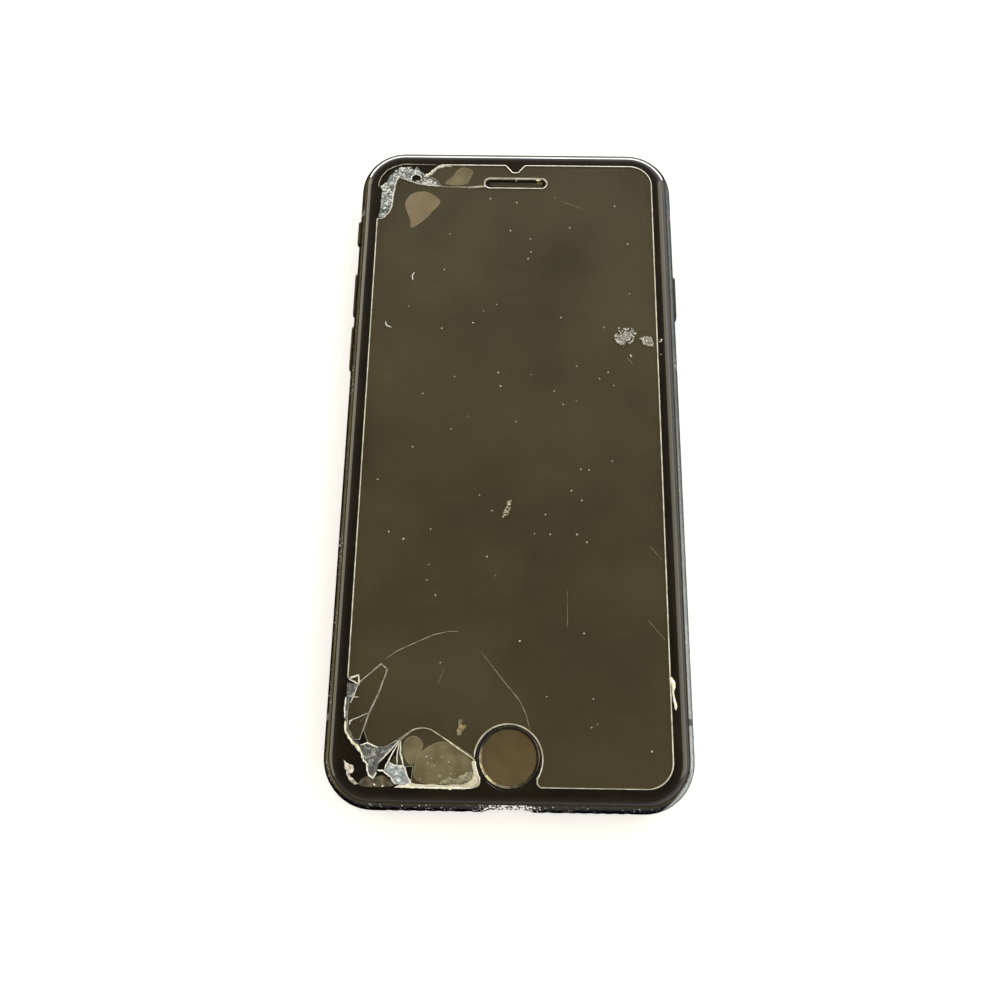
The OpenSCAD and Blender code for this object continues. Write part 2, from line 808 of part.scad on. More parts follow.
module volume_up_switch() {
  color("#c8a24a") on_left_side(switch_top_x - switch_depth, button_y, mid_z) tact_switch();
}

module volume_down_switch() {
  color("#c8a24a") on_left_side(switch_top_x - switch_depth, volume_down_y, mid_z) tact_switch();
}

module side_button_switch() {
  color("#c8a24a") on_right_side(switch_top_x - switch_depth, button_y, mid_z) tact_switch();
}

module ring_switch_body() {
  depth = 2;
  top = mid_z + 0.9;
  color("#3a3b3d") mirror([1, 0, 0]) translate([flange_x - slide_gap / 2 - depth, ring_y - 3, floor_t])
    cube([depth, 6, top - floor_t]);
}

module volume_bracket() {
  color("#a4a6a8") on_left_side(bracket_x, (button_y + volume_down_y) / 2, mid_z)
    bracket_strip(volume_pitch + 6);
}

module side_button_bracket() {
  color("#a4a6a8") on_right_side(bracket_x, button_y, mid_z) bracket_strip(8);
}

// Card tray

module card_tray() {
  pocket_t = 0.7;
  lip_depth = 1.4;
  joined = 0.05;
  color("#26282c") difference() {
    union() {
      translate([cav_w - tray_depth, tray_y - tray_w / 2, mid_z - tray_t / 2])
        cube([tray_depth + wall_t - lip_depth + joined, tray_w, tray_t]);
      intersection() {
        on_right_side(half_w - lip_depth, tray_y, mid_z) linear_extrude(lip_depth + 1)
          stadium(tray_lip_l, tray_lip_h);
        translate([half_w - side_r, tray_y, mid_z]) rotate([90, 0, 0])
          cylinder(r = side_r, h = tray_lip_l + 2, center = true);
      }
    }
    translate([tray_card_x(), tray_y - card_l / 2 - 0.1, mid_z + tray_t / 2 - pocket_t])
      cube([card_w + 0.2, card_l + 0.2, pocket_t + 1]);
    on_right_side(half_w - lip_depth - 2, tray_y + tray_lip_l / 2 - 1.1, mid_z)
      cylinder(r = 0.45, h = lip_depth + 4);
  }
}

function tray_card_x() = cav_w - tray_depth + 1;

module sim_card() {
  color("#e6e3da") translate([tray_card_x() + 0.1, tray_y - card_l / 2, mid_z + tray_t / 2 - 0.7])
    cube([card_w, card_l, 0.67]);
}

// A metal cage on the logic board, open towards the side
module card_reader() {
  wall = 0.5;
  roof = 0.3;
  inner_w = tray_w + 2 * slide_gap;
  x0 = cav_w - tray_depth - slide_gap - wall;
  x1 = cav_w - 0.4;
  top = mid_z + tray_t / 2 + slide_gap + roof;
  color("#b4b6b8") difference() {
    translate([x0, tray_y - inner_w / 2 - wall, board_top])
      cube([x1 - x0, inner_w + 2 * wall, top - board_top]);
    translate([x0 + wall, tray_y - inner_w / 2, mid_z - tray_t / 2 - slide_gap])
      cube([x1 - x0, inner_w, tray_t + 2 * slide_gap]);
  }
}

// Rear camera

module camera_ring() {
  color("#3a3d42") translate([camera_x, camera_y, 0]) difference() {
    cylinder(r = camera_ring_r, h = floor_t);
    translate([0, 0, -1]) cylinder(r = camera_ring_r - camera_ring_w, h = floor_t + 2);
  }
}

module camera_lens() {
  color("#0d1016") translate([camera_x, camera_y, 0])
    cylinder(r = camera_ring_r - camera_ring_w, h = floor_t - 0.2);
}

module rear_camera_module() {
  height = glass_z - floor_t - 1;
  color("#2a2b2e") {
    translate([camera_x - camera_box / 2, camera_y - camera_box / 2, floor_t])
      cube([camera_box, camera_box, height]);
    translate([camera_x, camera_y, floor_t - 0.15]) cylinder(r = 3, h = 1);
  }
}

module flash_lens() {
  color("#e8d9a8") translate([flash_x, camera_y, 0]) cylinder(r = flash_r, h = floor_t);
}

module rear_microphone() {
  color("#b4b6b8") translate([(camera_x + flash_x) / 2 - 2.4, camera_y - 1.2, floor_t])
    cube([2.6, 2.4, 0.9]);
}

// Inside

module battery() {
  color("#1d1e20") translate([battery_x, battery_y, floor_t + ribbon_t])
    cube([battery_w, battery_l, battery_t]);
}

module battery_adhesive_strips() {
  strip_w = 9;
  color("#e9e9e4") for (x = [battery_x + 3, battery_x + battery_w - 3 - strip_w])
    translate([x, battery_y + 1, floor_t]) cube([strip_w, battery_l - 2, ribbon_t]);
}

module logic_board() {
  color("#16301f") difference() {
    translate([0, 0, board_z]) linear_extrude(board_t) polygon([
      [board_left, board_foot_y], [board_right, board_foot_y], [board_right, board_neck_y],
      [flash_x - 3, board_neck_y], [flash_x - 3, board_head_top],
      [board_head_left, board_head_top], [board_head_left, board_head_y],
      [board_left, board_head_y]
    ]);
    for (p = screw_spots) translate([p[0], p[1], board_z - 1])
      cylinder(r = board_screw_r + 2 * screw_gap, h = board_t + 2);
  }
}

module board_chips() {
  color("#0e0f10") translate([0, 0, board_top]) {
    translate([board_left + 5, board_foot_y + 5.5, 0]) cube([9, 9, chip_h]);
    translate([board_left + 5, tray_y + 13, 0]) cube([8, 10, chip_h]);
    translate([board_head_left + 5, board_head_y + 1, 0]) cube([10, 3, chip_h]);
  }
}

module board_shields() {
  can_h = chip_h + 0.5;
  module can(x, y, w, l) {
    translate([x, y, board_top]) difference() {
      cube([w, l, can_h]);
      translate([can_t, can_t, -1]) cube([w - 2 * can_t, l - 2 * can_t, can_h - can_t + 1]);
    }
  }
  color("#b4b6b8") {
    can(board_left + 3.5, board_foot_y + 4.3, 12, 11.5);
    can(board_left + 3.5, tray_y + 11.5, 11, 13);
    can(-6, board_head_y + 1.3, 10, board_head_top - board_head_y - 2.6);
  }
}

module board_screws() {
  color("#c9cbcd") for (p = screw_spots) translate([p[0], p[1], 0]) {
    translate([0, 0, board_top]) cylinder(r = board_screw_head_r, h = board_screw_head_h);
    translate([0, 0, floor_t]) cylinder(r = board_screw_r, h = board_top - floor_t + 0.1);
  }
}

module upper_antenna() {
  color("#2f3033") translate([-cav_w + 4, half_l - 8.6, floor_t]) cube([14, 5, 1.8]);
}

// Bottom end

module charging_port() {
  mouth_y = -half_l + 0.65;
  color("#8f9193") difference() {
    into_bottom(0, mouth_y, mid_z) linear_extrude(port_back - mouth_y)
      stadium(port_w + 2 * port_wall, port_h + 2 * port_wall);
    into_bottom(0, mouth_y - 1, mid_z) linear_extrude(port_depth + 1) stadium(port_w, port_h);
  }
}

module port_contacts() {
  pads = 8;
  pitch = 0.75;
  color("#c8a24a") for (i = [0:pads - 1])
    translate([(i - (pads - 1) / 2) * pitch - 0.2, port_back - 5, mid_z + port_h / 2 - 0.15])
      cube([0.4, 4, 0.15]);
}

module charging_ribbon() {
  color("#5a3d22") translate([-cav_w + 4, port_back, floor_t]) cube([cav_w + 1, 10, ribbon_t]);
  color("#5a3d22") translate([-2.5, port_back, floor_t])
    cube([5, ribbon_t, mid_z - floor_t]);
}

module loudspeaker() {
  w = 20;
  l = 18.5;
  cut = 5.4;
  color("#1e1f21") translate([end_screw_x + 2.4, bottom_y, floor_t])
    linear_extrude(shield_z - floor_t - 0.25)
      polygon([[0, 0], [w - cut, 0], [w, cut], [w, l], [0, l]]);
}

module vibration_motor() {
  color("#a4a6a8") translate([-cav_w + inner_gap, battery_y - 10.6, floor_t + ribbon_t])
    cube([19.5, 9.6, 3]);
}

module bottom_microphone() {
  color("#b4b6b8") translate([-end_screw_x - 9, bottom_y, floor_t]) cube([4, 3, 2.4]);
}

// Two star-drive screws that hold the display frame's lugs
module bottom_screws() {
  recess_r = 0.35;
  color("#8f9193") for (s = [-1, 1]) difference() {
    union() {
      into_bottom(s * end_screw_x, screw_head_y, mid_z) cylinder(r = screw_head_r, h = screw_head_l);
      into_bottom(s * end_screw_x, screw_head_y, mid_z) cylinder(r = screw_shank_r, h = screw_l);
    }
    into_bottom(s * end_screw_x, screw_head_y - 1, mid_z) for (turn = [0, 60, 120])
      rotate([0, 0, turn]) translate([0, 0, 0.7])
        cube([2 * recess_r, 0.24, 1.4], center = true);
  }
}

protector_pane();
protector_crushed_corner();
protector_edge_chips();
protector_splinter();
protector_inner_shard();
protector_outer_shard();
protector_needle_shards();
protector_lower_shard();
cover_glass();
display_frame();
lcd_panel();
backlight();
display_shield();
display_ribbon();
earpiece_mesh();
earpiece_speaker();
front_camera();
proximity_sensor();
sensor_ribbon();
home_button_cap();
home_button_ring();
home_button_carrier();
home_button_gasket();
home_button_bracket();
home_button_switch();
housing();
antenna_band_upper();
antenna_band_lower();
volume_up_button();
volume_down_button();
side_button();
ring_switch_lever();
volume_up_switch();
volume_down_switch();
side_button_switch();
ring_switch_body();
volume_bracket();
side_button_bracket();
card_tray();
sim_card();
card_reader();
camera_ring();
camera_lens();
rear_camera_module();
flash_lens();
rear_microphone();
battery();
battery_adhesive_strips();
logic_board();
board_chips();
board_shields();
board_screws();
charging_port();
port_contacts();
charging_ribbon();
loudspeaker();
vibration_motor();
bottom_microphone();
bottom_screws();
upper_antenna();
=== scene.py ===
import math
import random

import bmesh
import bpy
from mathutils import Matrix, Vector
from mathutils.geometry import delaunay_2d_cdt, tessellate_polygon


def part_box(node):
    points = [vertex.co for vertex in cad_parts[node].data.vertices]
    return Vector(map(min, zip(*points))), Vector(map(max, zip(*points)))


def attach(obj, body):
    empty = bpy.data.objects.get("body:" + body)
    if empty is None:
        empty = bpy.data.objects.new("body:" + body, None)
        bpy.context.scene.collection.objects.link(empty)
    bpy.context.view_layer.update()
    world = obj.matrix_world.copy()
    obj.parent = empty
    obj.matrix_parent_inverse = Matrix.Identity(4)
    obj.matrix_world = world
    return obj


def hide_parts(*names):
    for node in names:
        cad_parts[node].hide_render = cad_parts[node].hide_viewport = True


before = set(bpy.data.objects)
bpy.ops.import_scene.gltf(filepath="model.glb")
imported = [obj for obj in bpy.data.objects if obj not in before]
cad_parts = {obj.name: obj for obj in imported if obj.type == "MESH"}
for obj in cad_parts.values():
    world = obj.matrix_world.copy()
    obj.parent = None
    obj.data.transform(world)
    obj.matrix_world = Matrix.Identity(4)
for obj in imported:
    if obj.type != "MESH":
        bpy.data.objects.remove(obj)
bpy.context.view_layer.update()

# ---- Studio ----
# A plain pale floor under soft light: a dim warm ceiling, bright walls all round, and one wide
# soft lamp behind the phone's top end. The camera looks down at the screen from its lower end.
MM = 0.001
scene = bpy.context.scene
scene.view_settings.view_transform = "Standard"


def linear(code):
    """A linear colour from an sRGB hex code."""
    parts = [int(code[i:i + 2], 16) / 255 for i in (1, 3, 5)]
    return [c / 12.92 if c <= 0.04045 else ((c + 0.055) / 1.055) ** 2.4 for c in parts] + [1]


def add(tree, kind, inputs=None, **settings):
    """Adds a node with its settings, its input values (colours as hex codes) and its links."""
    made = tree.nodes.new(kind)
    for name, value in settings.items():
        setattr(made, name, value)
    for name, value in (inputs or {}).items():
        if isinstance(value, bpy.types.NodeSocket):
            tree.links.new(value, made.inputs[name])
        else:
            is_code = isinstance(value, str)
            made.inputs[name].default_value = linear(value) if is_code else value
    return made


def maths(tree, kind, a, b=0.0):
    """The result of one Math node."""
    return add(tree, "ShaderNodeMath", {0: a, 1: b}, operation=kind).outputs[0]


camera = bpy.data.objects.new("camera", bpy.data.cameras.new("camera"))
scene.collection.objects.link(camera)
scene.camera = camera
camera.location = (-0.000583, -0.068974, 0.183498)
camera.rotation_euler = [math.radians(a) for a in (17.962, 0.283, 0.905)]
camera.data.lens = 34.586
camera.data.clip_start = 0.01

world = bpy.data.worlds.new("soft_room")
scene.world = world
world.use_nodes = True
sky = world.node_tree
sky.nodes.clear()
way = add(sky, "ShaderNodeSeparateXYZ", {0: add(sky, "ShaderNodeTexCoord").outputs["Generated"]})
# The walls dim with height, a little less on the right.
lift = maths(sky, "ADD", way.outputs["Z"], maths(sky, "MULTIPLY", way.outputs["X"], -0.15))
walls = add(sky, "ShaderNodeValToRGB", {0: lift})
walls.color_ramp.elements.new(0.62)
for i, (place, tint) in enumerate(((0.3, "#ffffff"), (0.62, "#8a8374"), (0.97, "#5c5546"))):
    walls.color_ramp.elements[i].position = place
    walls.color_ramp.elements[i].color = linear(tint)
add(sky, "ShaderNodeOutputWorld", {
    "Surface": add(sky, "ShaderNodeBackground", {
        "Color": walls.outputs["Color"], "Strength": 1.9}).outputs[0]})


def soft_lamp(name, size, glow, place, tint="#ffffff"):
    """A rectangular soft lamp facing the phone, `glow` times as bright as white paper."""
    lamp = bpy.data.lights.new(name, "AREA")
    lamp.shape = "RECTANGLE"
    lamp.size, lamp.size_y = size
    lamp.color = linear(tint)[:3]
    lamp.energy = glow * math.pi * size[0] * size[1]
    held = bpy.data.objects.new(name, lamp)
    held.location = place
    held.rotation_euler = (-Vector(place)).to_track_quat("-Z", "Y").to_euler()
    scene.collection.objects.link(held)


soft_lamp("back_softbox", (1.6, 0.16), 18, (0, 0.9, 0.1))
soft_lamp("left_softbox", (0.9, 0.22), 2.9, (-0.6, 0.12, 0.22), "#fff6d6")
soft_lamp("right_softbox", (0.8, 0.3), 2.5, (0.5, 0.15, 0.42), "#fff6d6")

floor_z = -2e-5
floor = bpy.data.objects.new("floor", bpy.data.meshes.new("floor"))
floor.data.from_pydata(
    [(x, y, floor_z) for x, y in ((-2, -2), (2, -2), (2, 2), (-2, 2))], [], [(0, 1, 2, 3)])
scene.collection.objects.link(floor)


def finish(name, inputs=None):
    """A new material: its node tree, its main shader and itself."""
    made = bpy.data.materials.new(name)
    made.use_nodes = True
    tree = made.node_tree
    tree.nodes.clear()
    shader = add(tree, "ShaderNodeBsdfPrincipled", inputs)
    add(tree, "ShaderNodeOutputMaterial", {"Surface": shader.outputs[0]})
    return made, tree, shader


# Matt white painted board, seen only from above.
board, tree, shader = finish("matt_white_board", {
    "Base Color": "#fafafa", "Roughness": 0.9, "Specular IOR Level": 0.1,
    "Emission Color": "#ffffff", "Emission Strength": 0.42})
below = add(tree, "ShaderNodeNewGeometry").outputs["Backfacing"]
show = add(tree, "ShaderNodeMixShader", {
    0: below, 1: shader.outputs[0], 2: add(tree, "ShaderNodeBsdfTransparent").outputs[0]})
tree.links.new(show.outputs[0], tree.nodes["Material Output"].inputs["Surface"])
floor.data.materials.append(board)

# ---- Housing ----
# One milled aluminium tub with full-round sides, blasted, dyed black and sealed. Carried bare
# for years, so its sides are speckled with bright nicks, most round the charging port.


def dress(material, *nodes):
    """Gives CAD nodes their material."""
    for name in nodes:
        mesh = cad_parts[name].data
        mesh.materials.clear()
        mesh.materials.append(material)


def on_piece(tree):
    """Where a point lies on its piece."""
    return add(tree, "ShaderNodeTexCoord").outputs["Object"]


def grain(tree, size, detail=2.0, seed=(0, 0, 0)):
    """Cloudy noise on the piece whose blobs are about `size` millimetres across."""
    spot = add(tree, "ShaderNodeMapping", {"Vector": on_piece(tree), "Location": seed})
    return add(tree, "ShaderNodeTexNoise", {
        "Vector": spot.outputs[0], "Scale": 1 / (size * MM), "Detail": detail}).outputs[0]


def between(tree, value, low, high, to_low=0.0, to_high=1.0):
    """`value` spread from low..high to to_low..to_high, and held there."""
    return add(tree, "ShaderNodeMapRange", {
        "Value": value, 1: low, 2: high, 3: to_low, 4: to_high}).outputs[0]


def times(tree, a, b):
    return maths(tree, "MULTIPLY", a, b)


def either(tree, share, a, b):
    """Colour a turning to colour b with share."""
    return add(tree, "ShaderNodeMix", {0: share, 6: a, 7: b}, data_type="RGBA").outputs[2]


def paint(tree, shader, colour, roughness=None):
    """Gives the main shader its colour and, where it varies, its roughness."""
    tree.links.new(colour, shader.inputs["Base Color"])
    if roughness is not None:
        tree.links.new(roughness, shader.inputs["Roughness"])


def relief(tree, shader, height, depth):
    """Raises the surface by `height` over `depth` millimetres."""
    bump = add(tree, "ShaderNodeBump", {"Height": height, "Distance": depth * MM})
    tree.links.new(bump.outputs[0], shader.inputs["Normal"])


def worn_near(tree, place, reach, core, strength):
    """Strength within `core` millimetres of a place, fading to nothing at `reach`."""
    away = add(tree, "ShaderNodeVectorMath", {0: on_piece(tree), 1: place}, operation="DISTANCE")
    return between(tree, away.outputs["Value"], reach * MM, core * MM, 0.0, strength)


# Black anodised aluminium: blue-black round the sides, olive on the shoulder next to the glass as
# a painted reflection of a warm ceiling, grey along the right side and most near its lower
# corner, partly scuffs and partly a painted reflection of a bright window, with silver nicks
# where the dye is gone.
anodised, tree, shader = finish("anodised_aluminium_black", {
    "Metallic": 1.0, "Specular Tint": "#1c1e22"})
outward = add(tree, "ShaderNodeNewGeometry").outputs["Normal"]
facing = add(tree, "ShaderNodeSeparateXYZ", {0: outward}).outputs
tilt = facing["Z"]
# Painted reflection of a warm ceiling: olive shoulder, less on the bottom, none on the right.
shoulder = times(tree, between(tree, tilt, 0.42, 0.72),
                 between(tree, facing["Y"], -0.7, -0.3, 0.25, 1.0))
shoulder = times(tree, shoulder, between(tree, facing["X"], 0.58, 0.64, 1.0, 0.0))
# Grey on the sides facing right or towards the lower right corner: scuffs and a painted
# reflection.
to_corner = add(tree, "ShaderNodeVectorMath", {0: outward, 1: (0.85, -0.53, 0)},
                operation="DOT_PRODUCT").outputs["Value"]
scuff_and_reflection = maths(tree, "MAXIMUM", between(tree, facing["X"], 0.69, 0.74),
                between(tree, to_corner, 0.7, 0.78))
scuff_and_reflection = times(tree, scuff_and_reflection, between(tree, tilt, 0.0, 0.25))
sides = between(tree, maths(tree, "ABSOLUTE", tilt), 0.97, 0.6, 0.04, 1.0)
nicks = grain(tree, 0.4, 4.0)
low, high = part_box("housing")
along = add(tree, "ShaderNodeSeparateXYZ", {0: on_piece(tree)}).outputs["Y"]
for more in (
        between(tree, grain(tree, 6.0, 2.0, (3, 1, 2)), 0.35, 0.7, -0.06, 0.055),
        between(tree, facing["Y"], -0.4, -0.8, 0.0, 0.03),
        between(tree, facing["X"], -0.5, -0.8, 0.0, 0.015),
        times(tree, between(tree, facing["X"], 0.5, 0.8),
              between(tree, along, -10 * MM, -45 * MM, 0.0, 0.08)),
        worn_near(tree, (0, low.y, high.z * 0.7), 6.5, 3.0, 0.16),
        worn_near(tree, (high.x - 0.4 * MM, 18 * MM, high.z * 0.75), 2.2, 1.0, 0.14)):
    nicks = maths(tree, "ADD", nicks, more)
nicks = times(tree, between(tree, nicks, 0.66, 0.71), sides)
dye = either(tree, grain(tree, 2.5), "#13161c", "#1f232b")
# The olive tone is a painted reflection, not the metal's own colour.
olive_reflection = either(tree, grain(tree, 1.6), "#57503f", "#716a58")
dye = either(tree, shoulder, dye, olive_reflection)
# Painted reflection: the grey is lighter towards the lower end, where the reflection is widest.
lower = between(tree, along, 10 * MM, -60 * MM)
grey = either(tree, grain(tree, 0.9, 3.0),
              either(tree, lower, "#5f6668", "#8d9496"),
              either(tree, lower, "#8f9597", "#c6cbcd"))
dye = either(tree, scuff_and_reflection, dye, grey)
paint(tree, shader, either(tree, nicks, dye, "#d9dbdd"),
      between(tree, grain(tree, 0.8), 0.3, 0.7, 0.28, 0.4))
relief(tree, shader, grain(tree, 0.12), 0.004)
dress(anodised, "housing", "volume_up_button", "volume_down_button", "side_button",
      "ring_switch_lever", "card_tray")


def moulded(name, colour, other, roughness, size=0.3):
    """A moulded or coated plastic: two close tones, a fine texture and a soft sheen."""
    made, tree, shader = finish(name)
    tone = either(tree, grain(tree, size * 8), colour, other)
    rough = between(tree, grain(tree, size * 3), 0.3, 0.7, roughness - 0.06, roughness + 0.06)
    paint(tree, shader, tone, rough)
    relief(tree, shader, grain(tree, size), 0.01)
    return made


def rolled(name, colour, other, roughness, size=0.4):
    """A rolled, stamped or turned metal: streaks along X, two close tones."""
    made, tree, shader = finish(name, {"Metallic": 1.0})
    stretched = add(tree, "ShaderNodeMapping", {"Vector": on_piece(tree), "Scale": (0.08, 1, 1)})
    streaks = add(tree, "ShaderNodeTexNoise", {
        "Vector": stretched.outputs[0], "Scale": 1 / (size * MM), "Detail": 3.0}).outputs[0]
    tone = either(tree, streaks, colour, other)
    rough = between(tree, streaks, 0.3, 0.7, roughness - 0.07, roughness + 0.07)
    paint(tree, shader, tone, rough)
    relief(tree, shader, streaks, 0.002)
    return made


# The antenna bands are glass-filled plastic moulded into grooves and cut flush: nearly the same
# black as the metal, but dull.
dress(moulded("glass_filled_nylon_black", "#17181b", "#1e2023", 0.5),
      "antenna_band_upper", "antenna_band_lower")

# ---- Things let into the housing ----
# Camera glass in a dark turned ring, a ribbed flash lens, a steel port and end screws, all
# pressed or screwed in from inside.


def coated_lens(name, node):
    """Coated glass over a dark barrel: a black pupil, a violet coating and a grey stop ring."""
    made, tree, shader = finish(name, {"Roughness": 0.04, "IOR": 1.6})
    near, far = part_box(node)
    radius = (far.x - near.x) / 2
    away = add(tree, "ShaderNodeVectorMath", {
        0: on_piece(tree), 1: (near + far) / 2},
        operation="DISTANCE").outputs["Value"]
    coat = either(tree, between(tree, away, 0.25 * radius, 0.5 * radius),
                  "#010102", "#1b1d3a")
    stop = times(tree, between(tree, away, 0.62 * radius, 0.65 * radius),
                 between(tree, away, 0.74 * radius, 0.71 * radius))
    tone = either(tree, stop, coat, "#6d6f76")
    smear = between(tree, grain(tree, 1.5), 0.35, 0.75, 0.0, 0.2)
    paint(tree, shader, either(tree, smear, tone, "#15161a"))
    return made


dark_steel = rolled("dark_coated_steel", "#4a4b50", "#85868b", 0.32)
port_steel = rolled("worn_port_steel", "#4d4e51", "#8b8c8e", 0.3, 0.25)
gold = rolled("gold_plated_contacts", "#c79a4b", "#e0bd77", 0.25)
bare_steel = rolled("rolled_stainless_steel", "#a9abad", "#c7c8ca", 0.3)
for node in ("camera_lens", "front_camera", "proximity_sensor"):
    dress(coated_lens(f"coated_glass_{node}", node), node)
dress(dark_steel, "camera_ring", "bottom_screws")
dress(port_steel, "charging_port")
dress(gold, "port_contacts", "home_button_switch", "volume_up_switch", "volume_down_switch",
      "side_button_switch")
flash, tree, shader = finish("ribbed_flash_lens", {"Roughness": 0.15, "IOR": 1.5})
from_centre = add(tree, "ShaderNodeMapping", {
    "Vector": on_piece(tree),
    "Location": -(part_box("flash_lens")[0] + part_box("flash_lens")[1]) / 2})
rings = add(tree, "ShaderNodeTexWave", {
    "Vector": from_centre.outputs[0], "Scale": 1 / (1.6 * MM)},
    wave_type="RINGS", rings_direction="Z")
paint(tree, shader, either(tree, rings.outputs["Fac"], "#d9c27a", "#f2ead2"))
relief(tree, shader, rings.outputs["Fac"], 0.03)
dress(flash, "flash_lens")

# ---- Inside ----
# Battery, board, cans, speakers, motor and ribbons, glued, screwed or clipped into the tub.
# Nothing of them shows while the phone is shut, apart from what the sound holes let through.
black_plastic = moulded("moulded_plastic_black", "#141416", "#1c1c1f", 0.5)
dress(black_plastic, "display_frame", "home_button_carrier", "ring_switch_body",
      "earpiece_speaker", "rear_camera_module", "board_chips", "loudspeaker", "upper_antenna")
dress(bare_steel, "display_shield", "home_button_bracket", "volume_bracket",
      "side_button_bracket", "card_reader", "rear_microphone", "board_shields",
      "board_screws", "vibration_motor", "bottom_microphone")
dress(moulded("ribbon_film_amber", "#5a3416", "#74481f", 0.3),
      "display_ribbon", "sensor_ribbon", "charging_ribbon")
dress(moulded("solder_mask_green", "#12301f", "#1b4029", 0.35), "logic_board")
dress(moulded("battery_film_black", "#1a1b1e", "#222327", 0.4), "battery")
dress(moulded("stretch_adhesive_white", "#dededa", "#cfcfc9", 0.6), "battery_adhesive_strips")
dress(moulded("card_plastic_white", "#e9e7df", "#dedbd1", 0.4), "sim_card")
dress(moulded("gasket_rubber_black", "#161616", "#1e1e1e", 0.75), "home_button_gasket")
dress(moulded("diffuser_plastic_white", "#e2e2dc", "#d8d8d0", 0.35), "backlight")

# ---- Cover glass ----
# Hardened glass 0.65 mm thick, black behind, its edge ground round and polished to meet the
# housing. Bonded to the display panel and clipped in with it. It is whole.
black_glass, tree, shader = finish("hardened_glass_black_backed", {"IOR": 1.5})
smears = between(tree, grain(tree, 9.0, 4.0, (1, 5, 2)), 0.4, 0.75)
paint(tree, shader, either(tree, smears, "#0c0a06", "#1d1912"),
      between(tree, grain(tree, 5.0, 5.0), 0.35, 0.8, 0.04, 0.12))
dress(black_glass, "cover_glass", "lcd_panel")

# ---- Home button ----
# A round cap of dark brown-black glass, slightly dished, in a turned and polished black ring.
# Both sit on a carrier under the cover glass and are pressed together.
cap_glass, tree, shader = finish("button_glass_dark_brown", {"IOR": 1.5})
paint(tree, shader, either(tree, grain(tree, 3.0, 4.0), "#4e432e", "#665940"),
      between(tree, grain(tree, 1.5, 4.0), 0.35, 0.75, 0.08, 0.2))
dress(cap_glass, "home_button_cap")

# Black plated steel, with a painted highlight on its inner slope at the bottom and lower left.
ring, tree, shader = finish("black_plated_steel", {"Metallic": 1.0, "Roughness": 0.26})
# Painted highlight: pale where the slope faces up and right, towards the lamp behind the phone.
toward_highlight = add(tree, "ShaderNodeVectorMath", {
    0: add(tree, "ShaderNodeNewGeometry").outputs["Normal"], 1: (0.5, 0.86, 0)},
    operation="DOT_PRODUCT").outputs["Value"]
painted_highlight = times(tree, between(tree, toward_highlight, 0.05, 0.45),
             between(tree, grain(tree, 0.9, 4.0), 0.4, 0.58, 0.25, 1.0))
plated = either(tree, grain(tree, 1.0), "#262422", "#4b4741")
paint(tree, shader, either(tree, painted_highlight, plated, "#9c957d"))
dress(ring, "home_button_ring")

# ---- Earpiece mesh ----
# A strip of woven black steel wire over cloth, glued under the earpiece slot. The wires are
# drawn 0.07 mm thick and 0.24 mm apart, a little coarser than real, so that they show.
cloth = moulded("acoustic_cloth_dark", "#332e24", "#453f32", 0.8, 0.15)
wire_steel = rolled("woven_steel_wire_dark", "#8f897a", "#b0a998", 0.35)
mesh_low, mesh_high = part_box("earpiece_mesh")
mesh_size = mesh_high - mesh_low
mesh_centre = (mesh_low + mesh_high) / 2


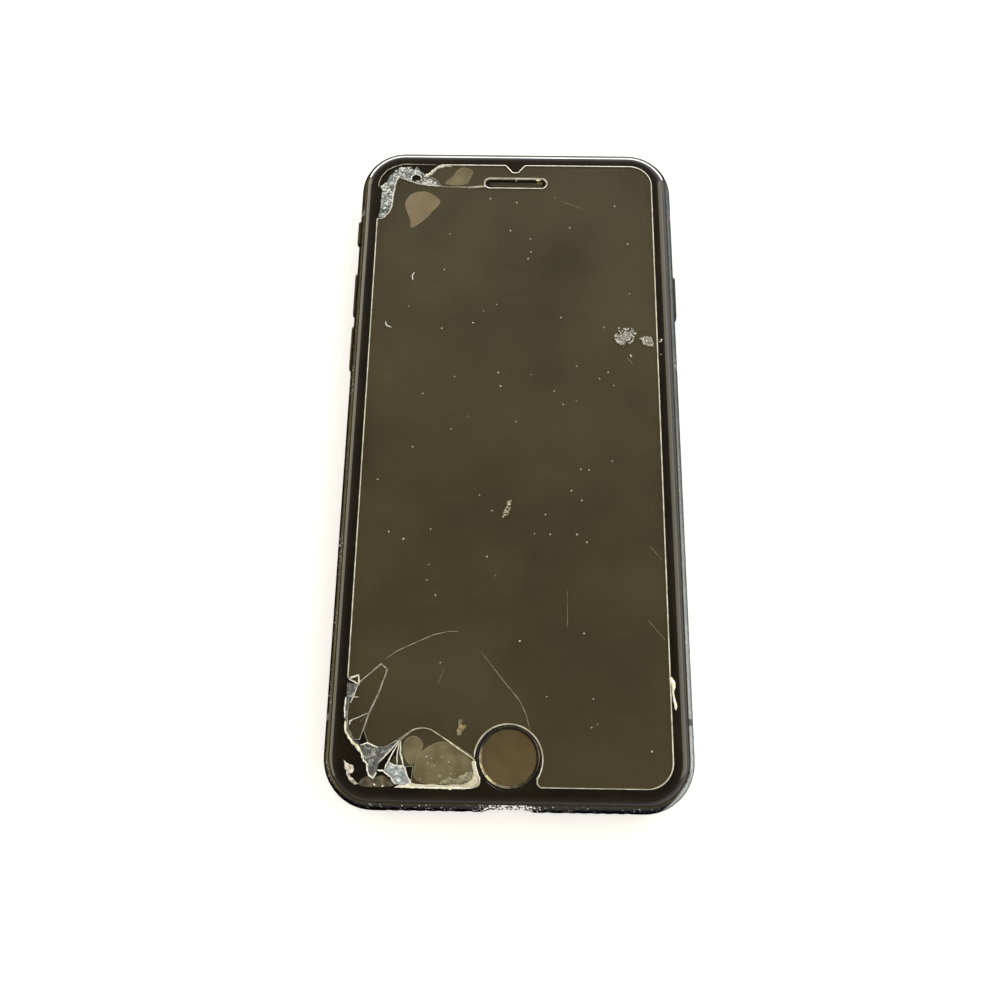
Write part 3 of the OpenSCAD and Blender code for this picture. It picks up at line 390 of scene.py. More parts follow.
def woven_wires():
    """Two layers of parallel wires that fill a stadium."""
    tree = bpy.data.node_groups.new("woven_wires", "GeometryNodeTree")
    face = tree.interface
    for name in ("Length", "Height", "Wire Radius", "Pitch"):
        face.new_socket(name, in_out="INPUT", socket_type="NodeSocketFloat")
    face.new_socket("Material", in_out="INPUT", socket_type="NodeSocketMaterial")
    face.new_socket("Geometry", in_out="OUTPUT", socket_type="NodeSocketGeometry")
    given = add(tree, "NodeGroupInput").outputs
    half_round = times(tree, given["Height"], 0.5)
    half_flat = maths(tree, "SUBTRACT", times(tree, given["Length"], 0.5), half_round)
    spot = add(tree, "ShaderNodeSeparateXYZ", {
        0: add(tree, "GeometryNodeInputPosition").outputs[0]})
    layers = []
    for along, span in ((0, "Length"), (1, "Height")):
        # Wires lie side by side over `span`, each as long as the stadium is there.
        count = maths(tree, "FLOOR", maths(tree, "DIVIDE", given[span], given["Pitch"]))
        start = times(tree, times(tree, maths(tree, "SUBTRACT", count, 1.0), -0.5),
                      given["Pitch"])
        offset = add(tree, "ShaderNodeCombineXYZ", {along: given["Pitch"]})
        first = add(tree, "ShaderNodeCombineXYZ", {
            along: start, 2: times(tree, given["Wire Radius"], 1.0 if along else -1.0)})
        rows = add(tree, "GeometryNodeMeshLine", {
            "Count": count, "Start Location": first.outputs[0], "Offset": offset.outputs[0]})
        if along == 0:
            past = maths(tree, "SUBTRACT", maths(tree, "ABSOLUTE", spot.outputs[0]), half_flat)
            past = maths(tree, "MAXIMUM", past, 0.0)
        else:
            past = spot.outputs[1]
        reach = maths(tree, "SUBTRACT", maths(tree, "POWER", half_round, 2.0),
                      maths(tree, "POWER", past, 2.0))
        reach = maths(tree, "SQRT", maths(tree, "MAXIMUM", reach, 1e-12))
        if along == 1:
            reach = maths(tree, "ADD", reach, half_flat)
        wire = add(tree, "GeometryNodeMeshCylinder", {
            "Vertices": 6, "Radius": given["Wire Radius"], "Depth": 2.0})
        turned = add(tree, "GeometryNodeTransform", {
            "Geometry": wire.outputs[0],
            "Rotation": (0, math.pi / 2, math.pi / 2 if along == 0 else 0)})
        longer = add(tree, "ShaderNodeCombineXYZ", {
            0: 1.0 if along == 0 else reach, 1: reach if along == 0 else 1.0, 2: 1.0})
        layers.append(add(tree, "GeometryNodeInstanceOnPoints", {
            "Points": rows.outputs[0], "Instance": turned.outputs[0],
            "Scale": longer.outputs[0]}).outputs[0])
    both = add(tree, "GeometryNodeJoinGeometry")
    for layer in layers:
        tree.links.new(layer, both.inputs[0])
    real = add(tree, "GeometryNodeRealizeInstances", {0: both.outputs[0]})
    painted = add(tree, "GeometryNodeSetMaterial", {
        "Geometry": real.outputs[0], "Material": given["Material"]})
    add(tree, "NodeGroupOutput", {0: painted.outputs[0]})
    return tree


def grow(name, tree, values, bed=None):
    """A plain mesh object made by a node tree with these named inputs."""
    made = bpy.data.objects.new(name, bed or bpy.data.meshes.new(name))
    scene.collection.objects.link(made)
    grown = made.modifiers.new("grown", "NODES")
    grown.node_group = tree
    for item in tree.interface.items_tree:
        if item.in_out == "INPUT" and item.name in values:
            grown[item.identifier] = values[item.name]
    seen = made.evaluated_get(bpy.context.evaluated_depsgraph_get())
    plain = bpy.data.meshes.new_from_object(seen)
    made.modifiers.remove(grown)
    made.data = plain
    return made


wires = grow("earpiece_woven_mesh", woven_wires(), {
    "Length": mesh_size.x - 0.1 * MM, "Height": mesh_size.y - 0.1 * MM,
    "Wire Radius": 0.035 * MM, "Pitch": 0.24 * MM, "Material": wire_steel})
for point in wires.data.vertices:
    point.co += Vector((mesh_centre.x, mesh_centre.y, mesh_high.z - 0.02 * MM))
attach(wires, "phone_body")
dress(cloth, "earpiece_mesh")

# ---- Screen protector ----
# A sheet of clear tempered glass with a ground edge, held by a film of clear silicone glue. It
# has taken the blows: cracked right through at both left corners, with all pieces still stuck.
pane_low, pane_high = (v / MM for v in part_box("protector_pane"))
pane_top = pane_high.z
just_under = pane_top - 0.03
glass_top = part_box("cover_glass")[1].z / MM
glue_line = 0.03
pane_under = glass_top + glue_line
slot_centre = mesh_centre.xy / MM
upper_left = Vector((pane_low.x, pane_high.y))
lower_left = Vector((pane_low.x, pane_low.y))
upper_right = Vector((pane_high.x, pane_high.y))
lower_right = Vector((pane_high.x, pane_low.y))
middle = Vector((0, 0))


def off(corner, *points):
    """Points given in millimetres from a corner of the protector."""
    return [corner + Vector(p) for p in points]


def outlines(node):
    """The edges of a flat CAD piece's upper face in order, inside on the left, in millimetres."""
    mesh = bmesh.new()
    mesh.from_mesh(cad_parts[node].data)
    bmesh.ops.remove_doubles(mesh, verts=mesh.verts, dist=1e-6)
    mesh.normal_update()
    ahead = {}
    for face in mesh.faces:
        if face.normal.z < 0.9:
            continue
        for corner in face.loops:
            other = corner.link_loop_radial_next.face
            if other.normal.z < 0.9:
                ahead[corner.vert.index] = corner.link_loop_next.vert.index
    mesh.verts.ensure_lookup_table()
    found = []
    while ahead:
        start, loop = next(iter(ahead)), []
        step = start
        while step in ahead:
            loop.append(mesh.verts[step].co / MM)
            step = ahead.pop(step)
        loop = [p for i, p in enumerate(loop) if (p - loop[i - 1]).length > 0.02]
        found.append(loop)
    mesh.free()
    return found


def piece(name, points, faces, materials, kinds=None, body="phone_body"):
    """A closed mesh piece from points in millimetres, facing outwards, riding on a body."""
    mesh = bpy.data.meshes.new(name)
    mesh.from_pydata([Vector(p) * MM for p in points], [], faces)
    for material in materials:
        mesh.materials.append(material)
    if kinds:
        mesh.polygons.foreach_set("material_index", kinds)
    shell = bmesh.new()
    shell.from_mesh(mesh)
    bmesh.ops.recalc_face_normals(shell, faces=shell.faces)
    shell.to_mesh(mesh)
    shell.free()
    made = bpy.data.objects.new(name, mesh)
    scene.collection.objects.link(made)
    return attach(made, body)


# Worn tempered glass: it mirrors a little, lets the dark glass below show, and is hazy with
# grease and fine wear. Its warm brown tone over the black is partly that grease and partly a
# painted reflection of a warm room.
clear_glass, tree, shader = finish("tempered_glass_hazy_painted_reflection", {"Roughness": 0.6})
# Painted reflection: the warm brown base stands for a warm room mirrored in the sheet.
paint(tree, shader,
      either(tree, grain(tree, 16.0, 3.0, (4, 2, 1)), "#6a5d38", "#7c704d"))
# Light crosses the sheet without bending, so it must mirror the same from both sides.
behind = add(tree, "ShaderNodeNewGeometry").outputs["Backfacing"]
mirrored = add(tree, "ShaderNodeFresnel", {
    "IOR": between(tree, behind, 0.0, 1.0, 1.46, 1 / 1.46)}).outputs[0]
glossy = add(tree, "ShaderNodeBsdfGlossy", {"Color": (1, 1, 1, 1)})
tree.links.new(between(tree, grain(tree, 6.0, 5.0), 0.35, 0.8, 0.02, 0.09),
               glossy.inputs["Roughness"])
through = add(tree, "ShaderNodeBsdfTransparent", {"Color": (0.99, 0.99, 0.98, 1)})
haze_and_reflection = between(tree, grain(tree, 20.0, 4.0, (2, 2, 4)), 0.3, 0.75, 0.08, 0.2)
hazy = add(tree, "ShaderNodeMixShader", {
    0: haze_and_reflection, 1: through.outputs[0], 2: shader.outputs[0]}).outputs[0]
pane_mix = add(tree, "ShaderNodeMixShader", {0: mirrored, 1: hazy, 2: glossy.outputs[0]})
tree.links.new(pane_mix.outputs[0], tree.nodes["Material Output"].inputs["Surface"])


def frosted(name, dark, light, roughness, size, bump=0.0):
    """Broken or ground glass, dried glue or grit: matt, mottled from dark to light."""
    made, tree, shader = finish(name, {"Roughness": roughness})
    mottle = between(tree, grain(tree, size, 4.0), 0.38, 0.62)
    paint(tree, shader, either(tree, mottle, dark, light))
    if bump:
        relief(tree, shader, mottle, bump)
    return made


# The ground edge is matt; its off-white line is partly ground glass and partly a painted
# highlight of the rounded edge. A broken edge is whiter.
ground_edge_and_highlight = frosted("ground_glass_edge_painted_highlight", "#a5a08f", "#d3cebf", 0.4, 1.5)
broken_edge = frosted("broken_glass_edge", "#b5b2a2", "#efece0", 0.35, 0.7)


def inset(loop, width):
    """The loop moved inwards, by a width that may differ from point to point."""
    moved = []
    for i, p in enumerate(loop):
        a = (p - loop[i - 1]).xy.normalized()
        b = (loop[(i + 1) % len(loop)] - p).xy.normalized()
        side = Vector((-a.y, a.x))
        across = (side + Vector((-b.y, b.x))).normalized()
        if across.length < 0.5:
            across = side
        reach = width(p) / max(0.6, across.dot(side))
        moved.append(Vector((p.x + across.x * reach, p.y + across.y * reach, p.z)))
    return moved


def slab(loops, under, width, drop, kind=lambda p: 1, wall=lambda p: 1):
    """Points, faces and material numbers of a flat plate with a bevelled upper edge."""
    points, faces, kinds, rims = [], [], [], []
    for loop in loops:
        base, n = len(points), len(loop)
        points += [Vector((p.x, p.y, under)) for p in loop]
        points += [p - Vector((0, 0, drop(p))) for p in loop]
        points += inset(loop, width)
        for i in range(n):
            j = (i + 1) % n
            for low, number in ((base, wall(loop[i])), (base + n, kind(loop[i]))):
                faces.append((low + i, low + j, low + n + j, low + n + i))
                kinds.append(number)
        rims.append((base, n))
    for level in (0, 2):
        order = [i + level * n for base, n in rims for i in range(base, base + n)]
        rings = [[points[i + level * n].xy.to_3d() for i in range(base, base + n)]
                 for base, n in rims]
        for tri in tessellate_polygon(rings):
            faces.append([order[i] for i in tri])
            kinds.append(0)
    return points, faces, kinds


def is_broken(p):
    """True on the cracked edges, and not on the sheet's own outer edge."""
    if min(p.x - pane_low.x, pane_high.y - p.y, p.y - pane_low.y) < 0.02:
        return False
    if p.x < pane_low.x + 22.5:
        return p.y > pane_high.y - 14.5 or p.y < pane_low.y + 22
    return p.x < pane_low.x + 24 and p.y < pane_low.y + 5


def is_slot(loop):
    """True for the earpiece slot's edge."""
    return all((p.xy - slot_centre).length < 8 for p in loop)


for node, title in (("protector_pane", "protector_glass_pane"),
                    ("protector_splinter", "protector_glass_splinter"),
                    ("protector_lower_shard", "protector_glass_lower_shard")):
    loops = outlines(node)
    if node != "protector_pane":
        # The open cracks close up to hairlines at the surface, the splinter's right one most.
        loops = [inset(loop, lambda p: -0.16 if node == "protector_splinter" and
                       p.x > pane_low.x + 3 and p.y < pane_low.y + 20.5 else -0.08)
                 for loop in loops]
    if node == "protector_lower_shard":
        # A chip is missing from its left side.
        chip = off(lower_left, (11.3, 3.2), (12.4, 3.4), (12.6, 3.2), (12.4, 1.0), (11.9, 1.4))
        loops.append([p.to_3d() + Vector((0, 0, pane_top)) for p in chip])
    # The ground edge of the slot lies inside its cut.
    loops = [inset(loop, lambda p: -0.24) if is_slot(loop) else loop for loop in loops]
    points, faces, kinds = slab(
        loops, pane_under,
        lambda p: 0.05 if is_broken(p) else 0.15 if p.y < pane_low.y + 0.1 else 0.22,
        lambda p: 0.05 if is_broken(p) else 0.12,
        lambda p: 2 if is_broken(p) else 1,
        lambda p: 0 if is_broken(p) else 1)
    made = piece(title, points, faces, [clear_glass, ground_edge_and_highlight, broken_edge], kinds)
    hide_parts(node)

# ---- Crushed glass ----
# Where the corners were hit, the protector is milled to crumbs that stay stuck in the glue. Each
# area is a mat of facets about half a millimetre wide, blue-grey with white and dark bits.


def rounded(points, closed=True):
    """The outline with its corners cut twice, so that it runs smoothly."""
    for _ in range(2):
        pairs = list(zip(points, points[1:] + points[:1])) if closed else \
            list(zip(points, points[1:]))
        cut = [q for a, b in pairs for q in (a.lerp(b, 0.25), a.lerp(b, 0.75))]
        points = cut if closed else [points[0]] + cut[1:-1] + [points[-1]]
    return points


def stepped(loop, step):
    """The closed outline with points about `step` apart."""
    walked = []
    for a, b in zip(loop, loop[1:] + loop[:1]):
        count = max(1, round((b - a).length / step))
        walked += [a.lerp(b, i / count) for i in range(count)]
    return walked


def inside(p, loop):
    crossings = 0
    for a, b in zip(loop, loop[1:] + loop[:1]):
        if (a.y > p.y) != (b.y > p.y) and p.x < a.x + (p.y - a.y) * (b.x - a.x) / (b.y - a.y):
            crossings += 1
    return crossings % 2 == 1


def crumbled(loops, under, edge, low, high, step, seed, rough=0.0):
    """Points and faces of a closed mat with a ragged rim and a top faceted between heights."""
    dice = random.Random(seed)
    loops = [[p + Vector((dice.uniform(-rough, rough), dice.uniform(-rough, rough)))
              for p in stepped([p.xy for p in loop], step)] for loop in loops]
    outer, edges, flat = loops[0], [], []
    for loop in loops:
        base, n = len(flat), len(loop)
        edges += [(base + i, base + (i + 1) % n) for i in range(n)]
        flat += loop
    on_rim = len(flat)
    tries, closest = 4000, 0.62 * step
    for _ in range(tries):
        p = Vector((dice.uniform(min(q.x for q in outer), max(q.x for q in outer)),
                    dice.uniform(min(q.y for q in outer), max(q.y for q in outer))))
        if all(inside(p, loop) == (loop is outer) for loop in loops) \
                and min((p - q).length for q in flat) > closest:
            flat.append(p)
    flat, _, triangles, origins, *_ = delaunay_2d_cdt(flat, edges, [], 0, 1e-6)
    rim = [not given or min(given) < on_rim for given in origins]
    top, bare = [], set()
    for tri in triangles:
        a, b, c = tri
        turn = (flat[b] - flat[a]).cross(flat[c] - flat[a])
        centre = (flat[a] + flat[b] + flat[c]) / 3
        if abs(turn) < 1e-4 or any(inside(centre, loop) != (loop is outer) for loop in loops):
            continue
        if turn < 0:
            b, c = c, b
        top.append((a, b, c))
        bare |= {(a, b), (b, c), (c, a)}
    # The underside repeats the top, laid flat, and a wall joins their open edges.
    used = sorted({i for tri in top for i in tri})
    under_of = {i: k for k, i in enumerate(used)}
    over = len(used)
    points = [Vector((*flat[i], under)) for i in used]
    points += [Vector((*flat[i], edge if rim[i] else dice.uniform(low, high))) for i in used]
    faces = [[over + under_of[i] for i in tri] for tri in top]
    faces += [[under_of[i] for i in tri[::-1]] for tri in top]
    for a, b in sorted(bare):
        if (b, a) not in bare:
            a, b = under_of[a], under_of[b]
            faces.append((a, b, over + b, over + a))
    return points, faces


def crushed(name, dark, mid, light, size):
    """Crushed glass: Voronoi crumbs in three tones with dark cracks between them."""
    made, tree, shader = finish(name, {"Roughness": 0.3, "IOR": 1.46})
    where = on_piece(tree)
    crumbs = add(tree, "ShaderNodeTexVoronoi", {"Vector": where, "Scale": 1 / (size * MM)})
    edges = add(tree, "ShaderNodeTexVoronoi", {
        "Vector": where, "Scale": 1 / (size * 2.2 * MM)}, feature="DISTANCE_TO_EDGE")
    tone = add(tree, "ShaderNodeSeparateXYZ", {0: crumbs.outputs["Color"]}).outputs["X"]
    cloud = between(tree, grain(tree, size * 4, 3.0, (1, 2, 3)), 0.3, 0.7, -0.3, 0.3)
    tone = maths(tree, "ADD", tone, cloud)
    body = either(tree, between(tree, tone, 0.1, 0.6), dark, mid)
    body = either(tree, between(tree, tone, 0.72, 0.85), body, light)
    crack = between(tree, edges.outputs["Distance"], 0.02, 0.07, 0.75, 0.0)
    paint(tree, shader, either(tree, crack, body, dark))
    relief(tree, shader, tone, 0.05)
    return made


crushed_glass = crushed("crushed_glass_blue_grey", "#454d4f", "#959d9d", "#eff2f2", 0.32)
frosted_shard = crushed("frosted_shard_grey", "#474b4c", "#6c7070", "#a3a7a6", 0.35)
grit_cake = crushed("caked_glass_grit", "#44453f", "#7f8079", "#e4e4de", 0.22)
bright_shard = crushed("frosted_shard_bright", "#858d94", "#adb5bc", "#f0f3f6", 0.35)
for node, title, material, step, low, seed in (
        ("protector_crushed_corner", "crushed_corner", crushed_glass, 0.42, -0.16, 3),
        ("protector_inner_shard", "frosted_inner_shard", frosted_shard, 0.7, -0.06, 5),
        ("protector_outer_shard", "frosted_outer_shard", bright_shard, 0.6, -0.1, 7)):
    loops = [max(outlines(node), key=lambda loop: max(p.x for p in loop) - min(p.x for p in loop))]
    if node == "protector_crushed_corner":
        loops.append(off(upper_left, (6.8, -3.9), (6.9, -3.0), (7.6, -2.4), (8.5, -2.4),
                         (9.3, -3.2), (9.4, -3.8), (8.5, -4.2), (7.6, -4.4)))
    points, faces = crumbled(
        loops, pane_under, pane_top - 0.05, pane_top + low, pane_top, step, seed, 0.05)
    made = piece(title, points, faces, [material])
    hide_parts(node)
for node, title in (("protector_needle_shards", "needle_shards"),
                    ("protector_edge_chips", "edge_chips")):
    for number, loop in enumerate(outlines(node), 1):
        points, faces = crumbled(
            [loop], pane_under, pane_top - 0.04, pane_top - 0.1, pane_top, 0.5, number)
        across = sum(p.x for p in loop) / len(loop) - lower_left.x
        clear = len(loop) < 6 and title == "edge_chips" or across > 9.4
        made = piece(f"{title}_{number}", points, faces, [clear_glass if clear else frosted_shard])
        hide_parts(node)

lump = frosted("dried_glue_lump", "#7f786f", "#efe9e2", 0.6, 0.7)
frosted_film = frosted("frosted_glue_film", "#6c6a54", "#a09e86", 0.5, 0.6)
tan = frosted("smudge_tan", "#6b5f46", "#a39576", 0.6, 0.7)
# Pale yellow glue, painted near white: its own colour plus a painted highlight of bright light.
squeezed = frosted("squeezed_glue_pale_yellow_and_highlight", "#f4f1dc", "#fffef6", 0.5, 1.6)
for title, material, corner, shape, under, thick, seed in (
        ("frost_on_splinter", frosted_shard, lower_left, (
            (0.3, 17.8), (2.0, 17.5), (1.5, 16.0), (0.9, 14.8), (0.45, 15.2)), just_under,
         0.06, 31),
        ("glue_lump_corner", lump, lower_left, (
            (0.3, 4.3), (0.9, 3.8), (1.4, 3.6), (2.0, 3.3), (2.2, 2.6), (1.9, 2.1), (1.4, 2.0),
            (1.7, 1.4), (2.4, 0.9), (3.1, 0.3), (2.4, 0.15), (1.6, 0.7), (0.9, 1.7), (0.9, 2.4),
            (0.5, 2.9)), pane_under - glue_line, 0.14, 32),
        ("squeezed_glue_bottom", squeezed, lower_left, (
            (9.4, -0.25), (12.0, -0.3), (16.0, -0.35), (18.9, -0.35), (19.3, -0.5), (19.7, -0.35),
            (22.4, -0.3), (23.5, -0.1), (24.2, 0.5), (24.4, 1.3), (24.2, 2.4), (23.8, 3.4),
            (23.7, 4.3), (23.3, 4.7), (23.0, 4.2), (23.2, 3.2), (23.3, 2.2), (23.0, 1.4),
            (22.3, 0.8), (21.4, 0.45), (20.0, 0.5), (18.0, 0.25), (16.0, 0.4), (14.0, 0.25),
            (12.6, 0.5), (11.9, 0.9), (11.3, 0.5), (10.4, 0.2)), pane_under, 0.36, 33),
        ("squeezed_glue_right", squeezed, lower_right, (
            (-0.3, 19.6), (0.2, 19.7), (0.8, 18.8), (0.85, 18.0), (0.5, 17.1), (0.55, 16.2),
            (0.85, 15.2), (0.95, 14.3), (0.75, 13.8), (0.5, 14.3), (0.35, 15.3), (0.25, 16.4),
            (0.15, 17.4), (0.0, 18.6)), pane_under - 0.06, 0.4, 34),
        ("frost_on_lower_shard", frosted_film, lower_left, (
            (16.9, 0.5), (18.0, 1.1), (19.0, 1.7), (20.0, 1.3), (21.1, 2.0), (22.1, 2.3),
            (22.9, 3.0), (23.2, 2.2), (22.9, 1.3), (21.4, 0.5)), just_under, 0.05, 37),
        ("smudge_above_home", tan, middle, (
            (-9.4, -56.0), (-8.8, -56.1), (-8.4, -55.4), (-7.8, -54.9), (-7.9, -54.3),
            (-8.4, -54.4), (-8.5, -53.5), (-8.8, -53.4), (-9.3, -53.9), (-9.0, -54.6),
            (-9.3, -55.2)), just_under, 0.07, 38),
        ("caked_grit_large", grit_cake, upper_right, (
            (-8.8, -41.9), (-8.2, -42.9), (-6.9, -42.4), (-5.6, -42.0), (-5.2, -41.0),
            (-4.7, -39.6), (-5.3, -39.4), (-5.9, -40.2), (-6.7, -39.9), (-7.2, -40.6),
            (-8.1, -40.9), (-8.2, -41.5)), just_under, 0.12, 35),
        ("caked_grit_small", grit_cake, upper_right, (
            (-3.7, -41.8), (-3.0, -42.6), (-1.9, -43.2), (-1.2, -43.2), (-1.2, -41.7),
            (-2.1, -41.2), (-3.2, -41.4)), just_under, 0.12, 36)):
    shape = off(corner, *shape)
    if sum(a.cross(b) for a, b in zip(shape, shape[1:] + shape[:1])) < 0:
        shape.reverse()
    points, faces = crumbled(
        [shape], under, under + thick * 0.5, under + thick * 0.6, under + thick, 0.35, seed,
        0.16 if material in (grit_cake, tan) else 0.05)
    made = piece(title, points, faces, [material])

# ---- Cracks ----
# The broken rims of the glass catch the light as white lines. Each is a thin ridge along the
# crack, thicker where the edge is crumbled.


def ridge(lines, low, high):
    """Points and faces of thin ridges; each line is (width, points)."""
    points, faces = [], []
    for width, line in lines:
        base, n = len(points), len(line)
        for i, p in enumerate(line):
            before = line[max(i - 1, 0)]
            after = line[min(i + 1, n - 1)]
            way = (after - before).normalized()
            half = width / 2 * (0.45 if i in (0, n - 1) else 1)
            side = Vector((-way.y, way.x)) * half
            points += [Vector((p.x + side.x, p.y + side.y, low)),
                       Vector((p.x - side.x, p.y - side.y, low)),
                       Vector((p.x, p.y, high))]
        for i in range(n - 1):
            a, b = base + 3 * i, base + 3 * i + 3
            faces += [(a, b, b + 1, a + 1), (a, a + 2, b + 2, b), (a + 1, b + 1, b + 2, a + 2)]
        last = base + 3 * (n - 1)
        faces += [(base, base + 1, base + 2), (last, last + 2, last + 1)]
    return points, faces


def wavering(line, step, sway, seed):
    """The line with points `step` apart, each pushed a little sideways."""
    dice = random.Random(seed)
    walked = []
    for a, b in zip(line, line[1:]):
        count = max(1, round((b - a).length / step))
        walked += [a.lerp(b, i / count) for i in range(count)]
    walked.append(line[-1])
    return [p + Vector((dice.uniform(-sway, sway), dice.uniform(-sway, sway))) for p in walked]


white_rim = frosted("crumbled_glass_rim_white", "#c9c8bc", "#f6f5ee", 0.35, 0.5, 0.02)
yellow_rim = frosted("glue_filled_rim_pale_yellow", "#c4bd9c", "#f1edd8", 0.45, 0.9, 0.02)
faint_line = frosted("hairline_scratch", "#6f6b58", "#a5a08c", 0.4, 1.0)
made = piece("crushed_rim_lines", *ridge([
    (0.24, wavering(off(upper_left, (1.2, -13.7), (2.4, -12.4), (3.0, -10.9), (3.2, -8.0),
                        (3.5, -4.9), (4.2, -3.3)), 0.4, 0.1, 1)),
    (0.22, wavering(off(upper_left, (4.2, -3.3), (5.9, -4.0), (7.6, -4.7), (9.7, -5.2),
                        (11.2, -5.4), (13.2, -5.6)), 0.5, 0.05, 2)),
    (0.5, wavering(off(upper_left, (9.7, -3.3), (11.2, -2.0), (12.4, -0.8), (14.3, -0.1)),
                   0.3, 0.14, 3)),
    (0.3, wavering(off(upper_left, (10.2, -3.2), (11.4, -2.3), (12.2, -1.2)), 0.3, 0.12, 27)),
    (0.3, wavering(off(upper_left, (12.0, -1.0), (14.6, -0.4), (15.6, -0.5)), 0.3, 0.1, 28)),
    (0.2, wavering(off(upper_left, (9.3, -3.6), (10.6, -4.3), (11.9, -5.5)), 0.4, 0.08, 29)),
    (0.25, off(upper_left, (0.1, -13.9), (1.3, -13.8))),
    (0.3, wavering(rounded(off(upper_left, (7.0, -4.3), (6.8, -3.1), (7.9, -2.4), (9.0, -3.0),
                               (9.1, -3.6)), False), 0.3, 0.04, 4)),
    (0.3, wavering(off(lower_left, (0.3, 18.5), (2.0, 19.2), (2.2, 17.6), (0.3, 18.5)),
                   0.5, 0.05, 5)),
    (0.25, wavering(off(lower_left, (2.1, 18.0), (1.4, 15.6), (0.8, 14.2)), 0.5, 0.04, 6)),
    (0.2, wavering(off(lower_left, (0.6, 15.3), (2.3, 15.3)), 0.4, 0.03, 7)),
    (0.16, wavering(off(lower_left, (1.2, 11.2), (2.8, 11.9), (4.2, 12.5)), 0.4, 0.03, 8)),
    (0.3, wavering(off(lower_left, (0.9, 10.4), (1.0, 11.0), (1.4, 11.3)), 0.3, 0.03, 9)),
    (0.3, wavering(off(lower_left, (0.0, 15.3), (-0.1, 13.4), (0.0, 11.6)), 0.5, 0.05, 10)),
    (0.35, wavering(off(lower_left, (3.5, 5.4), (3.9, 4.2), (4.6, 3.6), (4.5, 2.5), (5.0, 1.8),
                        (5.7, 1.3), (6.2, 2.2)), 0.4, 0.09, 11)),
    (0.28, wavering(off(lower_left, (3.1, 6.9), (4.3, 7.2), (6.3, 6.4)), 0.4, 0.07, 12)),
    (0.25, wavering(off(lower_left, (10.1, 7.9), (6.4, 3.8)), 0.6, 0.04, 13)),
    (0.25, wavering(off(lower_left, (10.1, 7.9), (9.0, 5.8), (7.6, 2.9)), 0.6, 0.04, 14)),
    (0.2, wavering(off(lower_left, (10.0, 7.6), (9.7, 5.4), (9.8, 3.5)), 0.6, 0.04, 15)),
    (0.28, wavering(off(lower_left, (10.2, 7.7), (10.3, 5.6), (10.9, 3.4), (11.5, 2.1)),
                    0.6, 0.05, 16)),
    (0.3, wavering(off(lower_left, (6.3, 2.6), (7.5, 2.5), (8.7, 1.5), (9.6, 0.3)),
                   0.4, 0.08, 17)),
    (0.28, wavering(off(lower_left, (8.4, 4.0), (9.2, 3.5), (10.2, 3.4), (11.0, 3.3)),
                    0.4, 0.07, 18)),
    (0.3, wavering(off(lower_left, (11.2, 2.4), (12.0, 1.1), (12.6, 0.3)), 0.4, 0.06, 19)),
    (0.2, off(slot_centre, (0.0, 1.05), (0.0, 0.45))),
], pane_top - 0.15, pane_top + 0.05), [white_rim])

made = piece("glue_filled_rims", *ridge([
    (0.5, wavering(off(lower_left, (0.2, 11.0), (0.3, 9.5), (1.0, 8.2), (1.7, 7.3), (2.6, 6.7)),
                   0.4, 0.06, 21)),
    (0.65, wavering(off(lower_left, (2.2, 7.0), (2.8, 6.4), (3.2, 5.7)), 0.35, 0.08, 22)),
    (0.4, wavering(off(lower_left, (3.1, 5.9), (3.5, 5.3), (3.6, 4.6)), 0.3, 0.08, 23)),
    (0.1, wavering(rounded(off(lower_left, (10.1, 7.85), (12.4, 9.72), (14.1, 10.05),
                                (15.6, 9.75), (17.8, 8.42)), False), 0.7, 0.02, 24)),
    (0.2, wavering(off(lower_left, (17.6, 8.55), (20.6, 6.5), (23.6, 4.6)), 0.7, 0.03, 26)),
    (0.26, wavering(off(lower_left, (21.4, 1.5), (22.3, 2.5)), 0.4, 0.04, 25)),
    (0.5, off(slot_centre, (4.2, 0.95), (4.7, 0.85), (5.3, 0.85))),
], pane_top - 0.15, pane_top + 0.05), [yellow_rim])

made = piece("hairline_cracks", *ridge([
    (0.14, off(lower_left, (6.7, 22.2), (8.8, 23.7), (12.8, 25.6), (15.5, 26.8), (18.4, 27.5),
               (19.9, 27.4))),
    (0.12, off(lower_left, (24.3, 23.7), (28.5, 18.5), (31.3, 15.2), (32.6, 12.6), (33.3, 9.9))),
    (0.12, off(lower_left, (2.8, 10.9), (4.0, 12.1))),
    (0.16, off(upper_left, (0.0, -6.0), (0.0, -5.0), (0.4, -3.5), (1.6, -1.7), (3.5, -0.6),
               (5.4, -0.1), (12.1, -0.2))),
    (0.14, off(middle, (9.6, 55.5), (14.3, 53.6))),
    (0.1, off(middle, (10.5, -29.4), (10.5, -36.4))),
    (0.1, off(middle, (-12.2, -44.6), (-13.0, -47.2))),
    (0.12, off(middle, (26.2, -20.7), (28.4, -23.4))),
    (0.12, off(middle, (25.4, -34.9), (28.4, -38.5))),
    (0.14, off(middle, (23.0, 18.6), (24.0, 17.3))),
], pane_top - 0.02, pane_top + 0.012), [faint_line])

made = piece("lint_curls", *ridge([
    (0.2, rounded(off(middle, (-26.4, 26.3), (-26.3, 25.3), (-25.1, 24.9)), False)),
    (0.18, rounded(off(middle, (-21.0, 37.8), (-21.5, 36.9), (-21.2, 35.9)), False)),
], pane_top - 0.02, pane_top + 0.05), [white_rim])

